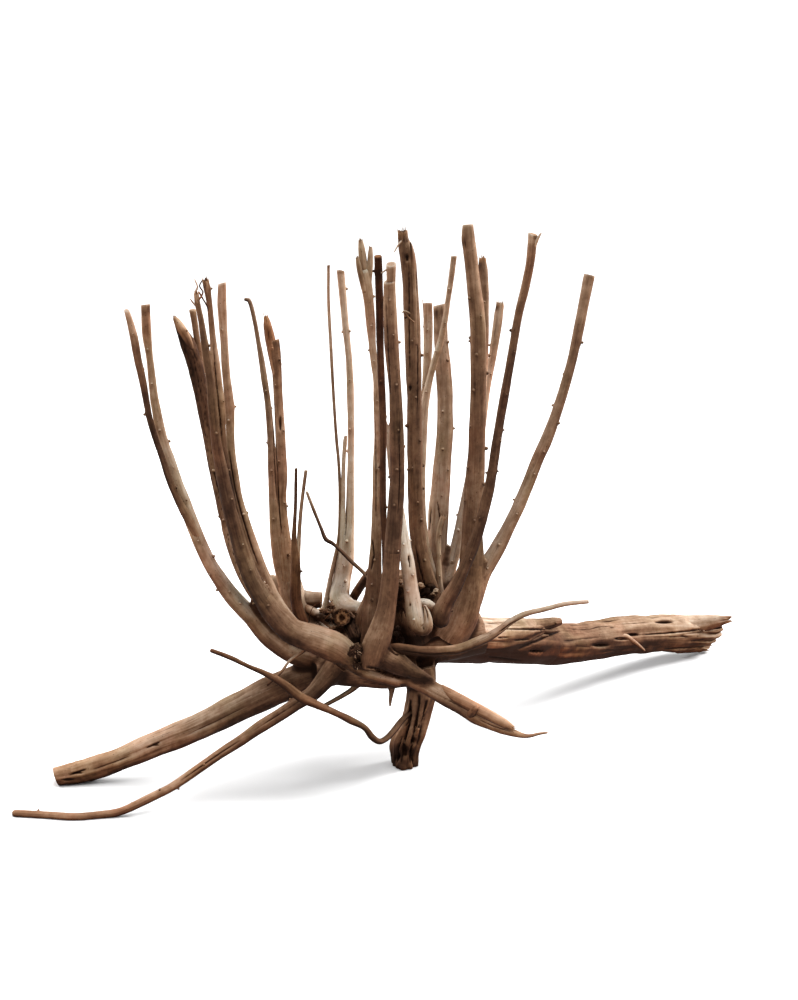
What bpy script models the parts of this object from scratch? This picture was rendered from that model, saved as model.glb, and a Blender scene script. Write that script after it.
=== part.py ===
"""Driftwood stump: the washed root crown of a shrub, lying on its roots, with the cut and torn stems of
many years rising from it. Metres, Z up. The origin is in the sole of the short root that it stands on.

Every limb is drawn as someone standing in front of the stump sees it: how far across and up it goes on a
drawing held upright to the eye, how far back it lies, and how thick it is. in_space() turns the drawing into
the real place.
"""
import math
import random

import bmesh
import bpy
from mathutils import Matrix, Vector, noise

MM = 0.001

# The eye that the drawing was made for, and the spot on the drawing that it looks at, seen from the sole
EYE_DISTANCE = 1600.0
EYE_DIP = math.radians(17.0)
SIGHT_ACROSS = -6.5
SIGHT_UP = 263.5

# A limb's mesh: it has 4 sides, and more for each of these thicknesses that it passes
MORE_SIDES_OVER = (4.2, 10.0, 34.0)
PATH_STEP = 3.0
LONGEST_RING = 44.0
SHORTEST_RING = 8.0
RING_TURN = math.radians(16.0)
RING_SWELL = 0.2
OUTLINE_GAIN = 1.07
WELD = 0.02
SHARP_FROM = math.radians(50.0)

# A worn end narrows over this share of its half thickness, first and last by these shares
NOSE_LENGTH = 0.55
NOSE_SHOULDER = 0.95
NOSE_FACE = 0.5

# The skin's lumps and the furrows along its grain, as shares of the half thickness
ROUGHNESS = 0.07
ROUGH_SCALE = 26.0
FURROW_DEPTH = 0.05
FURROW_COUNT = 2.6
FURROW_RUN = 70.0
DEEP_FURROWS = {
    "crown": 0.16, "crown_belly": 0.16, "crown_heart": 0.2, "crown_shoulder": 0.2, "foot": 0.26, "log": 0.2,
    "log_plank": 0.16, "log_lip_upper": 0.3, "log_lip_lower": 0.3, "thick_left_root": 0.14,
}

# Bud knobs, the little pimples that dot the stems. They keep these many path steps off a limb's two ends
KNOB_EVERY = 56.0
KNOB_WIDTH = 7.5
KNOB_HEIGHT = 2.0
KNOB_SUNK = 1.6
KNOB_SIDES = 4
KNOBS_OFF_ROOT = 8
KNOBS_OFF_TIP = 6
THINNEST_WITH_KNOBS = 6.5
GOLDEN_TURN = math.radians(137.5)

# Splinters at a torn tip, their sizes as shares of the stem's half thickness. One of them is longer
SPLINTERS = 3
SPLINTER_LENGTH = 1.5
LONG_SPLINTER_MORE = 2.2
SPLINTER_SUNK = 1.6
SPLINTER_FOOT_OUT = 0.45
SPLINTER_TIP_OUT = 0.62
SPLINTER_THICK = 0.42
SPLINTER_SIDES = 4
THINNEST_SPLINTER = 0.9
SPIKE_TIP = 0.16

WOOD_COLOUR = (0.27, 0.165, 0.105, 1.0)
WOOD_ROUGHNESS = 0.82

SEED = 41

# Limbs with no bud knobs: roots, twigs and the crown itself
BARE = {
    "crown", "bark_lump", "sawn_stub", "short_arm", "broken_arm", "log", "log_plank", "log_twig",
    "whip_root", "lower_right_root", "foot", "thick_left_root", "thin_left_root", "crossing_root",
    "rootlet_left", "rootlet_middle", "rootlet_spike", "knot_upper", "knot_lower", "crown_belly",
    "crown_heart", "crown_shoulder", "log_lip_upper", "log_lip_lower", "forked_prong_left",
    "forked_prong_right", "middle_front_top",
}

# From its root to its tip, each limb's stations in millimetres on the drawing:
# across and up from the sole, how far back from it, and how thick the limb is there
LIMBS = {
    "crown": ("worn", [
        (-83.5, 107.5, 14, 30), (-55.5, 111.5, 22, 48), (-17.5, 115.5, 26, 58),
        (19.5, 121.5, 26, 46), (49.5, 126.5, 26, 44), (76.5, 131.5, 34, 42)
    ]),
    "outer_left": ("sawn", [
        (-60.5, 101.5, 12, 30), (-93.5, 105.5, 0, 25), (-118.5, 113.5, -14, 21),
        (-140, 129.5, -20, 19), (-155, 147.5, -22, 17), (-170.5, 164, -22, 17),
        (-185.5, 184.5, -22, 15), (-197.5, 203.5, -22.5, 14), (-214.5, 243.5, -21, 13.5),
        (-221.5, 263.5, -19.5, 12), (-229, 283.5, -18, 11), (-235.5, 303.5, -16.5, 10.5),
        (-242.5, 323.5, -15, 9.4), (-251, 363.5, -12.5, 8.8), (-255.5, 403.5, -10.5, 7.4),
        (-258.5, 428.5, -9.6, 9.2), (-260, 459, -7.8, 9.2)
    ]),
    "outer_left_twin": ("sawn", [
        (-202.5, 218.5, -24.5, 9), (-215.5, 241.5, -27, 9), (-227.5, 263.5, -28.5, 7.2),
        (-236, 283.5, -28, 7), (-242.5, 303.5, -27.5, 6.3), (-249.5, 323.5, -28, 6),
        (-255.5, 343.5, -28.5, 6.4), (-263, 383.5, -31, 7.6), (-267.5, 403.5, -32.5, 8),
        (-271, 423.5, -34.5, 8.2), (-276, 443.5, -36, 6.4), (-279, 453.5, -37.5, 5.2)
    ]),
    "torn_left": ("sawn", [
        (-119.5, 129.5, -34, 16), (-145.5, 162.5, -27, 14), (-159.5, 184.5, -24, 13.5),
        (-172, 215.5, -22, 13), (-179.5, 243.5, -20, 13), (-188, 283.5, -18, 13),
        (-195.5, 323.5, -16, 13.5), (-204, 368.5, -14, 14.5), (-211.5, 401.5, -12, 15),
        (-219, 422.5, -11, 14), (-225.5, 435.5, -11, 9), (-231, 447, -10, 4)
    ]),
    "torn_left_fork": ("sawn", [
        (-193.5, 315.5, -12, 9), (-202.5, 378.5, -7, 8), (-206, 403.5, -5, 7),
        (-208.5, 423.5, -3, 6.2), (-211, 441.5, -2, 6.7), (-213, 454, -2, 7.2)
    ]),
    "front_left": ("torn", [
        (-20.5, 98.5, -40, 40), (-52.5, 109.5, -46, 36), (-78.5, 120.5, -50, 30),
        (-96.5, 126, -50, 28.5), (-113.5, 132.5, -49, 26), (-128.5, 146.5, -48, 23.5),
        (-142.5, 165.5, -47, 20), (-153.5, 185.5, -47.5, 18), (-161, 203.5, -48.5, 17),
        (-167, 223.5, -50.5, 15.5), (-177.5, 263.5, -55.5, 14.5), (-182, 283.5, -58, 13),
        (-189.5, 323.5, -66, 10), (-193.5, 363.5, -73, 9), (-195.5, 385.5, -76.5, 8.2),
        (-200, 413.5, -81, 8), (-204.5, 443.5, -86, 6), (-208.5, 463.5, -90, 6),
        (-209, 471.5, -91, 5.6)
    ]),
    "front_left_second": ("sawn", [
        (-173.5, 258.5, -49, 10), (-179.5, 288.5, -53.5, 10.5), (-184, 323.5, -58, 10),
        (-185.5, 363.5, -62, 8.6), (-187.5, 383.5, -64.5, 8), (-190.5, 403.5, -66, 8.8),
        (-192.5, 423.5, -67.5, 6.6), (-196.5, 463.5, -72, 6.2), (-200, 483.5, -74.5, 8.4)
    ]),
    "front_left_third": ("sawn", [
        (-111.5, 133.5, -42, 20), (-129.5, 159.5, -40, 16.5), (-140.5, 183.5, -38.5, 14),
        (-148, 203.5, -39.5, 12.5), (-161, 243.5, -42, 10), (-167, 263.5, -43.5, 9.5),
        (-170.5, 283.5, -45, 9.3), (-174.5, 313.5, -48, 8.4), (-176, 358.5, -52.5, 9.3),
        (-179.5, 391.5, -55.5, 8.2), (-181.5, 423.5, -58.5, 8), (-183.5, 458.5, -62, 9.3),
        (-183.5, 480.5, -65, 8.6)
    ]),
    "left_back": ("sawn", [
        (-89.5, 125.5, 8, 32), (-107.5, 155.5, 12, 27), (-115.5, 178.5, 14.5, 24),
        (-120.5, 203.5, 16, 21), (-123, 228.5, 18.5, 15), (-125, 263.5, 22.5, 12),
        (-124.5, 283.5, 25, 12.5), (-125, 323.5, 32.5, 10.5), (-127, 363.5, 41, 9.4),
        (-128.5, 391.5, 48, 10), (-131, 413.5, 53, 11.5), (-133.5, 427.5, 56.5, 9.5),
        (-138, 448.5, 61, 5.4)
    ]),
    "left_back_hook": ("worn", [
        (-120.5, 178.5, 12.5, 14), (-126, 203.5, 13, 13.5), (-129.5, 228.5, 14.5, 12),
        (-132, 263.5, 17.5, 9.8), (-133, 293.5, 21, 9), (-134.5, 323.5, 25.5, 7.8),
        (-138, 363.5, 32, 6.4), (-141, 383.5, 35, 6.7), (-144, 403.5, 39, 5.8),
        (-147.5, 423.5, 42, 4.5), (-150.5, 443.5, 45.5, 4.5), (-157.5, 465.5, 50, 4.6)
    ]),
    "dark_twig": ("point", [
        (-89.5, 115.5, -38, 15), (-98.5, 129.5, -22, 14), (-109, 160.5, -13, 11.5),
        (-110, 185.5, -11, 10.5), (-110, 203.5, -10, 9), (-111.5, 223.5, -9, 5),
        (-109.5, 258.5, -8, 3.1), (-109, 295.5, -7, 2.2)
    ]),
    "dark_twig_fork": ("point", [
        (-108.5, 197.5, -9, 6), (-107, 218.5, -6, 4.2), (-104.5, 253.5, -4, 3),
        (-101.5, 278.5, -3, 2.7), (-100, 291.5, -2, 2.3)
    ]),
    "broken_arm": ("torn", [
        (-142.5, 188.5, 26, 10), (-129.5, 180, 29, 14), (-110.5, 168, 30, 16),
        (-97.5, 163.5, 29, 17), (-87.5, 163.5, 28, 15)
    ]),
    "slanting_twig": ("point", [
        (-33.5, 181.5, -5.8, 5), (-40.5, 189.5, 4.3, 3.8), (-53.5, 201.5, 13.5, 3.3),
        (-65.5, 213.5, 20, 3.3), (-78.5, 225.5, 25, 3.3), (-85.5, 238.5, 28.5, 3),
        (-95.5, 263.5, 33.5, 2.7), (-98.5, 271.5, 34.5, 2.4)
    ]),
    "short_arm": ("worn", [
        (-67.5, 141.5, 24, 12), (-53.5, 163.5, 12, 9.5), (-39.5, 185.5, -3, 9),
        (-31.5, 197.5, -12, 8)
    ]),
    "bleached": ("sawn", [
        (-42.5, 152.5, 20, 14), (-57.5, 154.5, 30, 19), (-65.5, 164.5, 36, 20),
        (-64, 183.5, 40.5, 17.5), (-60.5, 203.5, 44.5, 17), (-58.5, 223.5, 47.5, 14),
        (-56, 243.5, 51, 9.4), (-55, 283.5, 57, 7.4), (-54.5, 323.5, 65, 6.2),
        (-55, 363.5, 72, 7.2), (-56.5, 403.5, 81, 6.4), (-60.5, 443.5, 90, 6.8),
        (-65, 492.5, 101, 7.4)
    ]),
    "bleached_wand": ("sawn", [
        (-83.5, 141.5, 28, 9), (-79, 163.5, 33, 6), (-75.5, 183.5, 37.5, 4.7),
        (-71, 203.5, 41.5, 4.3), (-67, 223.5, 44.5, 3.6), (-65.5, 263.5, 51.5, 3.4),
        (-67, 303.5, 58, 3.4), (-69, 323.5, 62, 3.3), (-72, 368.5, 69.5, 3.3),
        (-75, 423.5, 80.5, 3.2), (-77, 463.5, 89, 3.1), (-77, 498.5, 96, 3)
    ]),
    "bleached_splinter": ("torn", [
        (-62.5, 201.5, 41.5, 10), (-63.5, 223.5, 45.5, 7.4), (-62.5, 263.5, 51.5, 4.8),
        (-62, 298.5, 56.5, 4.2), (-60, 327.5, 60, 4.2)
    ]),
    "sawn_stub": ("sawn", [
        (-53.5, 137.5, 22, 14), (-59.5, 142.5, 8, 15.5), (-64.5, 146.5, -8, 16.5)
    ]),
    "bark_lump": ("worn", [
        (-59.5, 145.5, 2, 14), (-53.5, 134.5, -14, 19), (-48.5, 122.5, -28, 16)
    ]),
    "forked": ("torn", [
        (-35.5, 113.5, -28, 20), (-35.5, 143.5, -24, 17), (-33.5, 163.5, -20, 16),
        (-31.5, 183.5, -18, 15), (-30.5, 203.5, -17, 13), (-29.5, 223.5, -16.5, 11),
        (-29, 263.5, -16, 8.6), (-29, 303.5, -15.5, 7.2), (-28.5, 323.5, -15.5, 5.8),
        (-29, 363.5, -15, 6.1), (-29, 383.5, -15.5, 6.6), (-31.5, 403.5, -15, 7.2),
        (-33.5, 423.5, -15, 7.9), (-35, 443.5, -14.5, 9.2), (-37, 463.5, -15, 10),
        (-39.5, 481.5, -14.5, 11.5), (-41, 495.5, -14.5, 9.5)
    ]),
    "dark_wand": ("sawn", [
        (-16.5, 161.5, -46, 9), (-19.5, 191.5, -38.5, 7.4), (-21, 223.5, -35, 5.8),
        (-22.5, 263.5, -34.5, 6.6), (-22.5, 303.5, -35, 6.7), (-22.5, 343.5, -36.5, 7.3),
        (-24, 383.5, -38.5, 7.1), (-25.5, 423.5, -40.5, 7.6), (-26, 463.5, -43, 7.5),
        (-26.5, 507.5, -45.5, 6.4)
    ]),
    "middle_front": ("sawn", [
        (-37.5, 101.5, -60, 14), (-32.5, 112.5, -62, 23.5), (-26.5, 128.5, -61, 24.5),
        (-20.5, 147.5, -59, 22.5), (-17.5, 165.5, -57, 19.5), (-14, 201.5, -55.5, 17),
        (-11, 241.5, -54.5, 16), (-8.2, 283.5, -56, 15), (-8.8, 333.5, -60, 14),
        (-10.5, 378.5, -64, 12.5), (-14, 418.5, -68, 14.5), (-15.5, 458.5, -72, 13.5),
        (-16, 482.5, -75.5, 12)
    ]),
    "dark_middle": ("torn", [
        (31.5, 141.5, 14, 28), (27.5, 159.5, 10, 25), (22, 178.5, 8, 20.5), (16, 203.5, 5.8, 17.5),
        (11.5, 233.5, 4.6, 16), (10, 263.5, 3.2, 15.5), (9.2, 313.5, 1.6, 15),
        (8.9, 363.5, -0.2, 15), (7.9, 403.5, -1.8, 16), (6.3, 443.5, -3.6, 16),
        (4.5, 478.5, -5.3, 15), (2.8, 505.5, -6.8, 15), (0, 522.5, -8, 12.5)
    ]),
    "middle_back": ("sawn", [
        (16.5, 323.5, 31.5, 8), (19, 358.5, 34.5, 8), (21, 388.5, 37, 7.8),
        (22.5, 418.5, 40.5, 9.2), (22.5, 460.5, 45.5, 9)
    ]),
    "leaning_wand": ("sawn", [
        (26.5, 183.5, 17.5, 13), (19.5, 216.5, 19.5, 10.5), (15.5, 263.5, 22, 9.2),
        (16.5, 313.5, 25, 9), (19, 355.5, 28, 8.4), (24, 383.5, 29.5, 6.8), (29.5, 403.5, 30, 6.7),
        (35.5, 423.5, 31, 6.9), (39.5, 443.5, 32, 6), (42.5, 463.5, 34, 5.3),
        (45.5, 483.5, 36, 5.6), (48.5, 507.5, 38.5, 6)
    ]),
    "broad_back": ("sawn", [
        (41.5, 141.5, 22, 28), (35.5, 163.5, 24, 25), (31.5, 193.5, 30, 20.5),
        (31.5, 223.5, 36, 20.5), (33, 248.5, 41.5, 21), (34.5, 268.5, 45.5, 20),
        (36.5, 296.5, 51.5, 18), (39, 328.5, 58.5, 16.5), (39.5, 363.5, 66.5, 15.5),
        (38, 393.5, 73, 15.5), (35.5, 423.5, 80, 14), (34.5, 459, 89, 14)
    ]),
    "broken_twig": ("torn", [
        (34.5, 171.5, 13, 7.5), (32.5, 203.5, 15, 6.2), (32.5, 223.5, 17, 6), (34.5, 235.5, 18, 6),
        (38.5, 248.5, 20, 7)
    ]),
    "pale_back": ("torn", [
        (41.5, 163.5, 20, 15), (44.5, 190.5, 26.5, 11.5), (50.5, 215.5, 32, 12),
        (58.5, 251.5, 38.5, 12), (66.5, 293.5, 45, 11), (73.5, 343.5, 51, 10.5),
        (77.5, 403.5, 58, 10), (78, 463.5, 65, 10), (77, 499.5, 69, 9.2)
    ]),
    "right_back": ("torn", [
        (57.5, 147.5, 28, 13), (58.5, 173.5, 35, 11), (61.5, 213.5, 45.5, 10),
        (68.5, 273.5, 59, 9.4), (75.5, 333.5, 71, 8.8), (81.5, 378.5, 80.5, 8.3),
        (87, 406.5, 87, 7.8), (91, 433.5, 93.5, 8.8), (93.5, 450.5, 97.5, 9.6)
    ]),
    "tallest": ("worn", [
        (42.5, 129.5, 12, 40), (53.5, 146.5, 8, 37), (61.5, 171.5, 6, 31), (66, 201.5, 6.2, 24.5),
        (67, 233.5, 6.4, 21.5), (68.5, 268.5, 6.8, 20), (71, 313.5, 7.4, 17.5),
        (72.5, 363.5, 7.2, 16), (73, 408.5, 6.9, 16), (71.5, 448.5, 6.7, 15.5),
        (68, 480.5, 6.3, 14), (65, 508.5, 5.9, 13.5), (62.5, 526.5, 5, 13.5), (62.5, 539, 5, 11)
    ]),
    "outer_right": ("sawn", [
        (54.5, 145.5, 8, 30), (65.5, 166.5, 9, 25), (76.5, 190.5, 11.5, 18.5),
        (89, 210.5, 12.5, 15.5), (97.5, 225.5, 14, 14), (106.5, 243.5, 15.5, 13.5),
        (116, 263.5, 17.5, 13), (132, 303.5, 20, 12), (141, 323.5, 21.5, 12),
        (155, 363.5, 24.5, 10.5), (166.5, 403.5, 27.5, 9.9), (175, 443.5, 30.5, 10.5),
        (184, 488.5, 34.5, 11)
    ]),
    "right_front": ("sawn", [
        (37.5, 141.5, -6, 17), (34.5, 147.5, -21, 17), (35.5, 151.5, -24, 17.5),
        (41.5, 162.5, -24, 15.5), (49.5, 176.5, -23, 13.5), (58, 194.5, -23, 12),
        (66.5, 214.5, -22.5, 12), (74.5, 238.5, -24, 11), (81, 262.5, -26.5, 11),
        (87, 293.5, -31, 10), (93, 333.5, -37, 9.2), (100, 373.5, -44, 8.8), (107, 413.5, -51, 8.6),
        (113, 448.5, -58, 8.4), (120, 477.5, -63.5, 8.8), (125, 503.5, -68.5, 8.5),
        (127.5, 529.5, -71, 9.3)
    ]),
    "whitish": ("torn", [
        (17.5, 129.5, -6, 22), (16, 138.5, -32, 21), (11.5, 150.5, -35, 19), (7, 165.5, -34, 15.5),
        (4.5, 183.5, -32, 14.5), (1.8, 203.5, -31, 14), (-2, 223.5, -30, 12.5),
        (-6, 248.5, -29, 11), (-10.5, 278.5, -28, 9.5), (-14.5, 308.5, -27, 8),
        (-16.5, 339.5, -26, 6)
    ]),
    "whitish_spur": ("worn", [
        (19.5, 137.5, -36, 13), (21.5, 149.5, -38, 10), (19, 158.5, -38, 6)
    ]),
    "log": ("sawn", [
        (32.5, 123.5, 26, 44), (74.5, 122.5, 72, 44), (114.5, 120.5, 115, 42),
        (154.5, 119.5, 162, 39.5), (194.5, 124.5, 203, 38.5), (234.5, 129.5, 243, 37),
        (274.5, 130, 277, 36.5), (296.5, 129.5, 290, 35), (302.5, 130.5, 294, 32)
    ]),
    "log_plank": ("sawn", [
        (42.5, 129.5, 10, 28), (74.5, 131.5, 48, 29), (114.5, 131.5, 92, 27),
        (137.5, 134.5, 117, 19), (154.5, 141.5, 136, 6)
    ]),
    "log_twig": ("point", [
        (184.5, 120.5, 182, 8), (202.5, 123.5, 192, 7), (217.5, 127.5, 203, 6.5),
        (228.5, 121.5, 207, 4.5), (239.5, 112.5, 209, 2)
    ]),
    "whip_root": ("point", [
        (-25.5, 108.5, -48, 14), (-10.5, 114.5, -58, 11.5), (14.5, 112.5, -62, 10),
        (34.5, 112.5, -62, 10), (54.5, 115, -60, 9.5), (71.5, 121.5, -57, 9),
        (84.5, 127.5, -54, 8.4), (95.5, 134.5, -51, 7), (106.5, 143, -48, 6),
        (119.5, 149.5, -45, 5.3), (139.5, 154.5, -41, 4.6), (159.5, 159.5, -38, 4),
        (185.5, 162, -35, 2.6)
    ]),
    "lower_right_root": ("point", [
        (-25.5, 98.5, -42, 38), (-5.5, 93.5, -50, 27), (8.5, 86, -56, 21), (22.5, 76.5, -62, 18),
        (39.5, 66.5, -70, 19), (54.5, 58, -77, 17), (69.5, 48.5, -84, 17.5), (84.5, 41.5, -91, 14),
        (95.5, 36.5, -96, 11), (106.5, 32, -101, 8.6), (121.5, 27.5, -107, 4.6),
        (134.5, 30, -112, 3), (142.5, 31, -115, 2.2)
    ]),
    "foot": ("sawn", [
        (13.5, 99.5, 6, 32), (17, 75.5, 3, 29), (13, 53.5, 1, 27), (7, 35.5, 0, 26),
        (1, 21.5, -1, 27.5), (-1.5, 8.5, -1, 27.5), (-1, -11.5, -1, 24)
    ]),
    "thick_left_root": ("worn", [
        (-60.5, 101, 14, 40), (-100.5, 86, 2, 34), (-125.5, 76.5, -4, 32), (-165.5, 57, -12, 29.5),
        (-205.5, 37.5, -20, 27), (-245.5, 21, -27, 26), (-290.5, 2.5, -33, 23.5),
        (-325.5, -8.3, -36.5, 23), (-349.5, -13, -42, 18.5)
    ]),
    "thin_left_root": ("worn", [
        (-67.5, 98.5, -22, 24), (-81.5, 82.5, -30, 19.5), (-92.5, 70.5, -36, 16.5),
        (-105.5, 62, -42, 14.5), (-125.5, 49, -50, 13), (-145.5, 36.5, -58, 12.5),
        (-165.5, 22.5, -66, 11), (-185.5, 9.7, -74, 9.8), (-205.5, -4.3, -82, 9.4),
        (-235.5, -24.5, -94, 8.4), (-255.5, -34.5, -101, 8.6), (-285.5, -48, -108, 8.2),
        (-305.5, -51.5, -110.5, 8.2), (-330.5, -53.5, -114, 8.2), (-355.5, -52, -111, 7.8),
        (-381.5, -50.5, -108, 7.8), (-393.5, -49.5, -107, 6.8)
    ]),
    "crossing_root": ("worn", [
        (13.5, 56.5, 0, 9), (-2, 45, -16, 6.6), (-10.5, 34.5, -28, 6.2), (-18.5, 25.5, -38, 6.2),
        (-26, 22, -45, 6), (-33.5, 26.5, -50, 6.7), (-40.5, 35.5, -54, 5.8),
        (-55.5, 43.5, -60, 7.6), (-67.5, 49.5, -64, 6.8), (-85.5, 57.5, -69, 8.2),
        (-103.5, 65.5, -73, 9.5), (-119.5, 77.5, -77, 8.6), (-130.5, 85, -80, 7.2),
        (-143.5, 91.5, -83, 5.6), (-155.5, 96.5, -86, 4.5), (-175.5, 106, -91, 4.8),
        (-195.5, 113.5, -96, 4.4)
    ]),
    "rootlet_left": ("point", [
        (-94.5, 120, -46, 6), (-102.5, 112, -46, 3.6), (-115.5, 103, -50, 3),
        (-124.5, 91.5, -55, 3), (-138.5, 78, -60, 2.4)
    ]),
    "rootlet_middle": ("point", [
        (-39.5, 88.5, -8, 10), (-51.5, 75.5, -6, 6), (-65.5, 66.5, -12, 5), (-80.5, 58.5, -20, 4),
        (-89.5, 54.5, -25, 2.4)
    ]),
    "rootlet_spike": ("point", [
        (-12, 89.5, -14, 9), (-11.5, 73.5, -18, 5.2), (-13, 57.5, -20, 1.8)
    ]),
    "knot_upper": ("worn", [
        (-53.5, 113.5, -50, 14), (-50.5, 113.5, -67, 12)
    ]),
    "knot_lower": ("worn", [
        (-49.5, 100.5, -50, 10), (-48.5, 100.5, -66, 8)
    ]),
    "crown_belly": ("worn", [
        (-85.5, 95.5, -4, 30), (-55.5, 94.5, -12, 35), (-17.5, 93.5, -10, 38), (6.5, 91.5, 0, 30)
    ]),
    "crown_heart": ("worn", [
        (9.5, 121.5, 6, 40), (-0.5, 149.5, 4, 32), (-4.5, 169.5, 2, 24), (-6.5, 193.5, 0, 14)
    ]),
    "middle_front_top": ("sawn", [
        (-14.5, 471.5, -74, 9), (-14.5, 499.5, -78, 9.8)
    ]),
    "forked_prong_left": ("sawn", [
        (-41.5, 485.5, -13.5, 8), (-43, 505.5, -14, 6.4), (-44.5, 524.5, -15, 4)
    ]),
    "forked_prong_right": ("sawn", [
        (-37.5, 481.5, -14.5, 7), (-36, 499.5, -14.5, 6), (-35, 516.5, -16, 3.6)
    ]),
    "forked_sliver": ("point", [
        (-41.5, 473.5, -17, 5), (-46, 493.5, -18.5, 4.4), (-48.5, 506, -20, 2.4)
    ]),
    "log_lip_upper": ("sawn", [
        (274.5, 137.5, 278, 24), (300.5, 139, 292, 18), (316.5, 142, 297, 13), (326.5, 144, 299, 8)
    ]),
    "log_lip_lower": ("sawn", [
        (284.5, 121.5, 282, 18), (299.5, 122.5, 291, 12), (310.5, 131, 295, 9)
    ]),
    "crown_shoulder": ("worn", [
        (-109.5, 117.5, 26, 26), (-83.5, 135.5, 40, 38), (-53.5, 141.5, 42, 38),
        (-20.5, 137.5, 34, 40), (14.5, 133.5, 28, 40)
    ]),
}


def in_space(across, up, back):
    """The place of a point of the drawing that lies so far back, and how much larger the thing is there."""
    low, high = math.sin(EYE_DIP), math.cos(EYE_DIP)

    def from_eye(side, lift):
        return Vector((side, EYE_DISTANCE * high + lift * low, lift * high - EYE_DISTANCE * low))

    ray = from_eye(across - SIGHT_ACROSS, up - SIGHT_UP)
    to_sole = from_eye(-SIGHT_ACROSS, -SIGHT_UP)
    grow = (to_sole.y + back) / ray.y
    return (ray * grow - to_sole) * MM, grow


def smooth_path(stations):
    """Points close together along a smooth curve through a limb's stations, each with the radius there."""
    knots = []
    for across, up, back, thick in stations:
        place, grow = in_space(across, up, back)
        knots.append(Vector((*place, thick * grow * MM / 2)))
    knots = [2 * knots[0] - knots[1]] + knots + [2 * knots[-1] - knots[-2]]
    path = []
    for before, start, end, after in zip(knots, knots[1:], knots[2:], knots[3:]):
        steps = max(2, round((end - start).length / (PATH_STEP * MM)))
        gaps = [max((q - p).length, MM) ** 0.5 for p, q in ((before, start), (start, end), (end, after))]
        leave = ((start - before) / gaps[0] - (end - before) / (gaps[0] + gaps[1])) * gaps[1] + end - start
        reach = ((after - end) / gaps[2] - (after - start) / (gaps[1] + gaps[2])) * gaps[1] + end - start
        for i in range(steps):
            t = i / steps
            curve = start * (2 * t**3 - 3 * t**2 + 1) + leave * (t**3 - 2 * t**2 + t)
            path.append(curve + end * (3 * t**2 - 2 * t**3) + reach * (t**3 - t**2))
    path.append(knots[-2])
    return path


def place_of(point):
    return point.to_3d()


def pick_rings(path):
    """The points of the path that a limb's mesh needs: closer where it bends or swells."""
    rings = [path[0]]
    heading = place_of(path[1]) - place_of(path[0])
    for here, ahead in zip(path[1:], path[2:]):
        run = (place_of(here) - place_of(rings[-1])).length / MM
        onward = place_of(ahead) - place_of(here)
        bends = heading.angle(onward, 0.0) > RING_TURN
        swells = abs(here.w - rings[-1].w) / rings[-1].w > RING_SWELL
        if run > LONGEST_RING or (run > SHORTEST_RING and (bends or swells)):
            rings.append(here)
            heading = onward
    last_run = (place_of(path[-1]) - place_of(rings[-1])).length / MM
    if last_run < SHORTEST_RING and len(rings) > 2:
        rings.pop()
    return rings + [path[-1]]


def round_off(rings):
    """A worn end: the tube narrows just before it stops."""
    end, before = rings[-1], rings[-2]
    along = (place_of(end) - place_of(before)).normalized()
    shoulder = place_of(end) - along * end.w * NOSE_LENGTH
    return rings[:-1] + [
        Vector((*shoulder, end.w * NOSE_SHOULDER)),
        Vector((*place_of(end), end.w * NOSE_FACE)),
    ]


def tube(name, rings):
    """A limb as a curve with a round bevel, tapered from ring to ring, made into a closed mesh."""
    data = bpy.data.curves.new(name, "CURVE")
    data.dimensions = "3D"
    data.bevel_depth = MM
    thickest = max(ring.w for ring in rings) * 2
    data.bevel_resolution = sum(thickest > limit * MM for limit in MORE_SIDES_OVER)
    data.use_fill_caps = True
    spline = data.splines.new("POLY")
    spline.points.add(len(rings) - 1)
    for point, ring in zip(spline.points, rings):
        point.co = (*place_of(ring), 1.0)
        point.radius = ring.w * OUTLINE_GAIN / MM
    curve = bpy.data.objects.new(name + "_curve", data)
    bpy.context.scene.collection.objects.link(curve)
    depsgraph = bpy.context.evaluated_depsgraph_get()
    mesh = bpy.data.meshes.new_from_object(curve.evaluated_get(depsgraph))
    bm = bmesh.new()
    bm.from_mesh(mesh)
    bmesh.ops.remove_doubles(bm, verts=bm.verts, dist=WELD * MM)
    bm.to_mesh(mesh)
    bm.free()
    limb = bpy.data.objects.new(name, mesh)
    limb.matrix_world = curve.matrix_world
    bpy.data.objects.remove(curve)
    bpy.data.curves.remove(data)
    return limb


def weather(limb, path):
    """Pushes a limb's skin in and out and furrows it along the grain, so that no limb is a turned rod."""
    spine = [place_of(point) for point in path[::2]]
    furrow = DEEP_FURROWS.get(limb.name, FURROW_DEPTH)
    for vertex in limb.data.vertices:
        nearest = min(spine, key=lambda point: (point - vertex.co).length_squared)
        out = vertex.co - nearest
        around = out.normalized() * FURROW_COUNT + nearest / (FURROW_RUN * MM)
        push = ROUGHNESS * noise.noise(vertex.co / (ROUGH_SCALE * MM)) + furrow * noise.noise(around)
        vertex.co += out * push


def spike(name, foot, point, radius, sides):
    """A thin pyramid from foot to point."""
    mesh = bpy.data.meshes.new(name)
    bm = bmesh.new()
    along = point - foot
    turn = along.to_track_quat("Z", "Y").to_matrix().to_4x4()
    bmesh.ops.create_cone(
        bm, cap_ends=True, segments=sides, radius1=radius, radius2=radius * SPIKE_TIP, depth=along.length,
        matrix=Matrix.Translation((foot + point) / 2) @ turn,
    )
    bm.to_mesh(mesh)
    bm.free()
    return bpy.data.objects.new(name, mesh)


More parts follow.
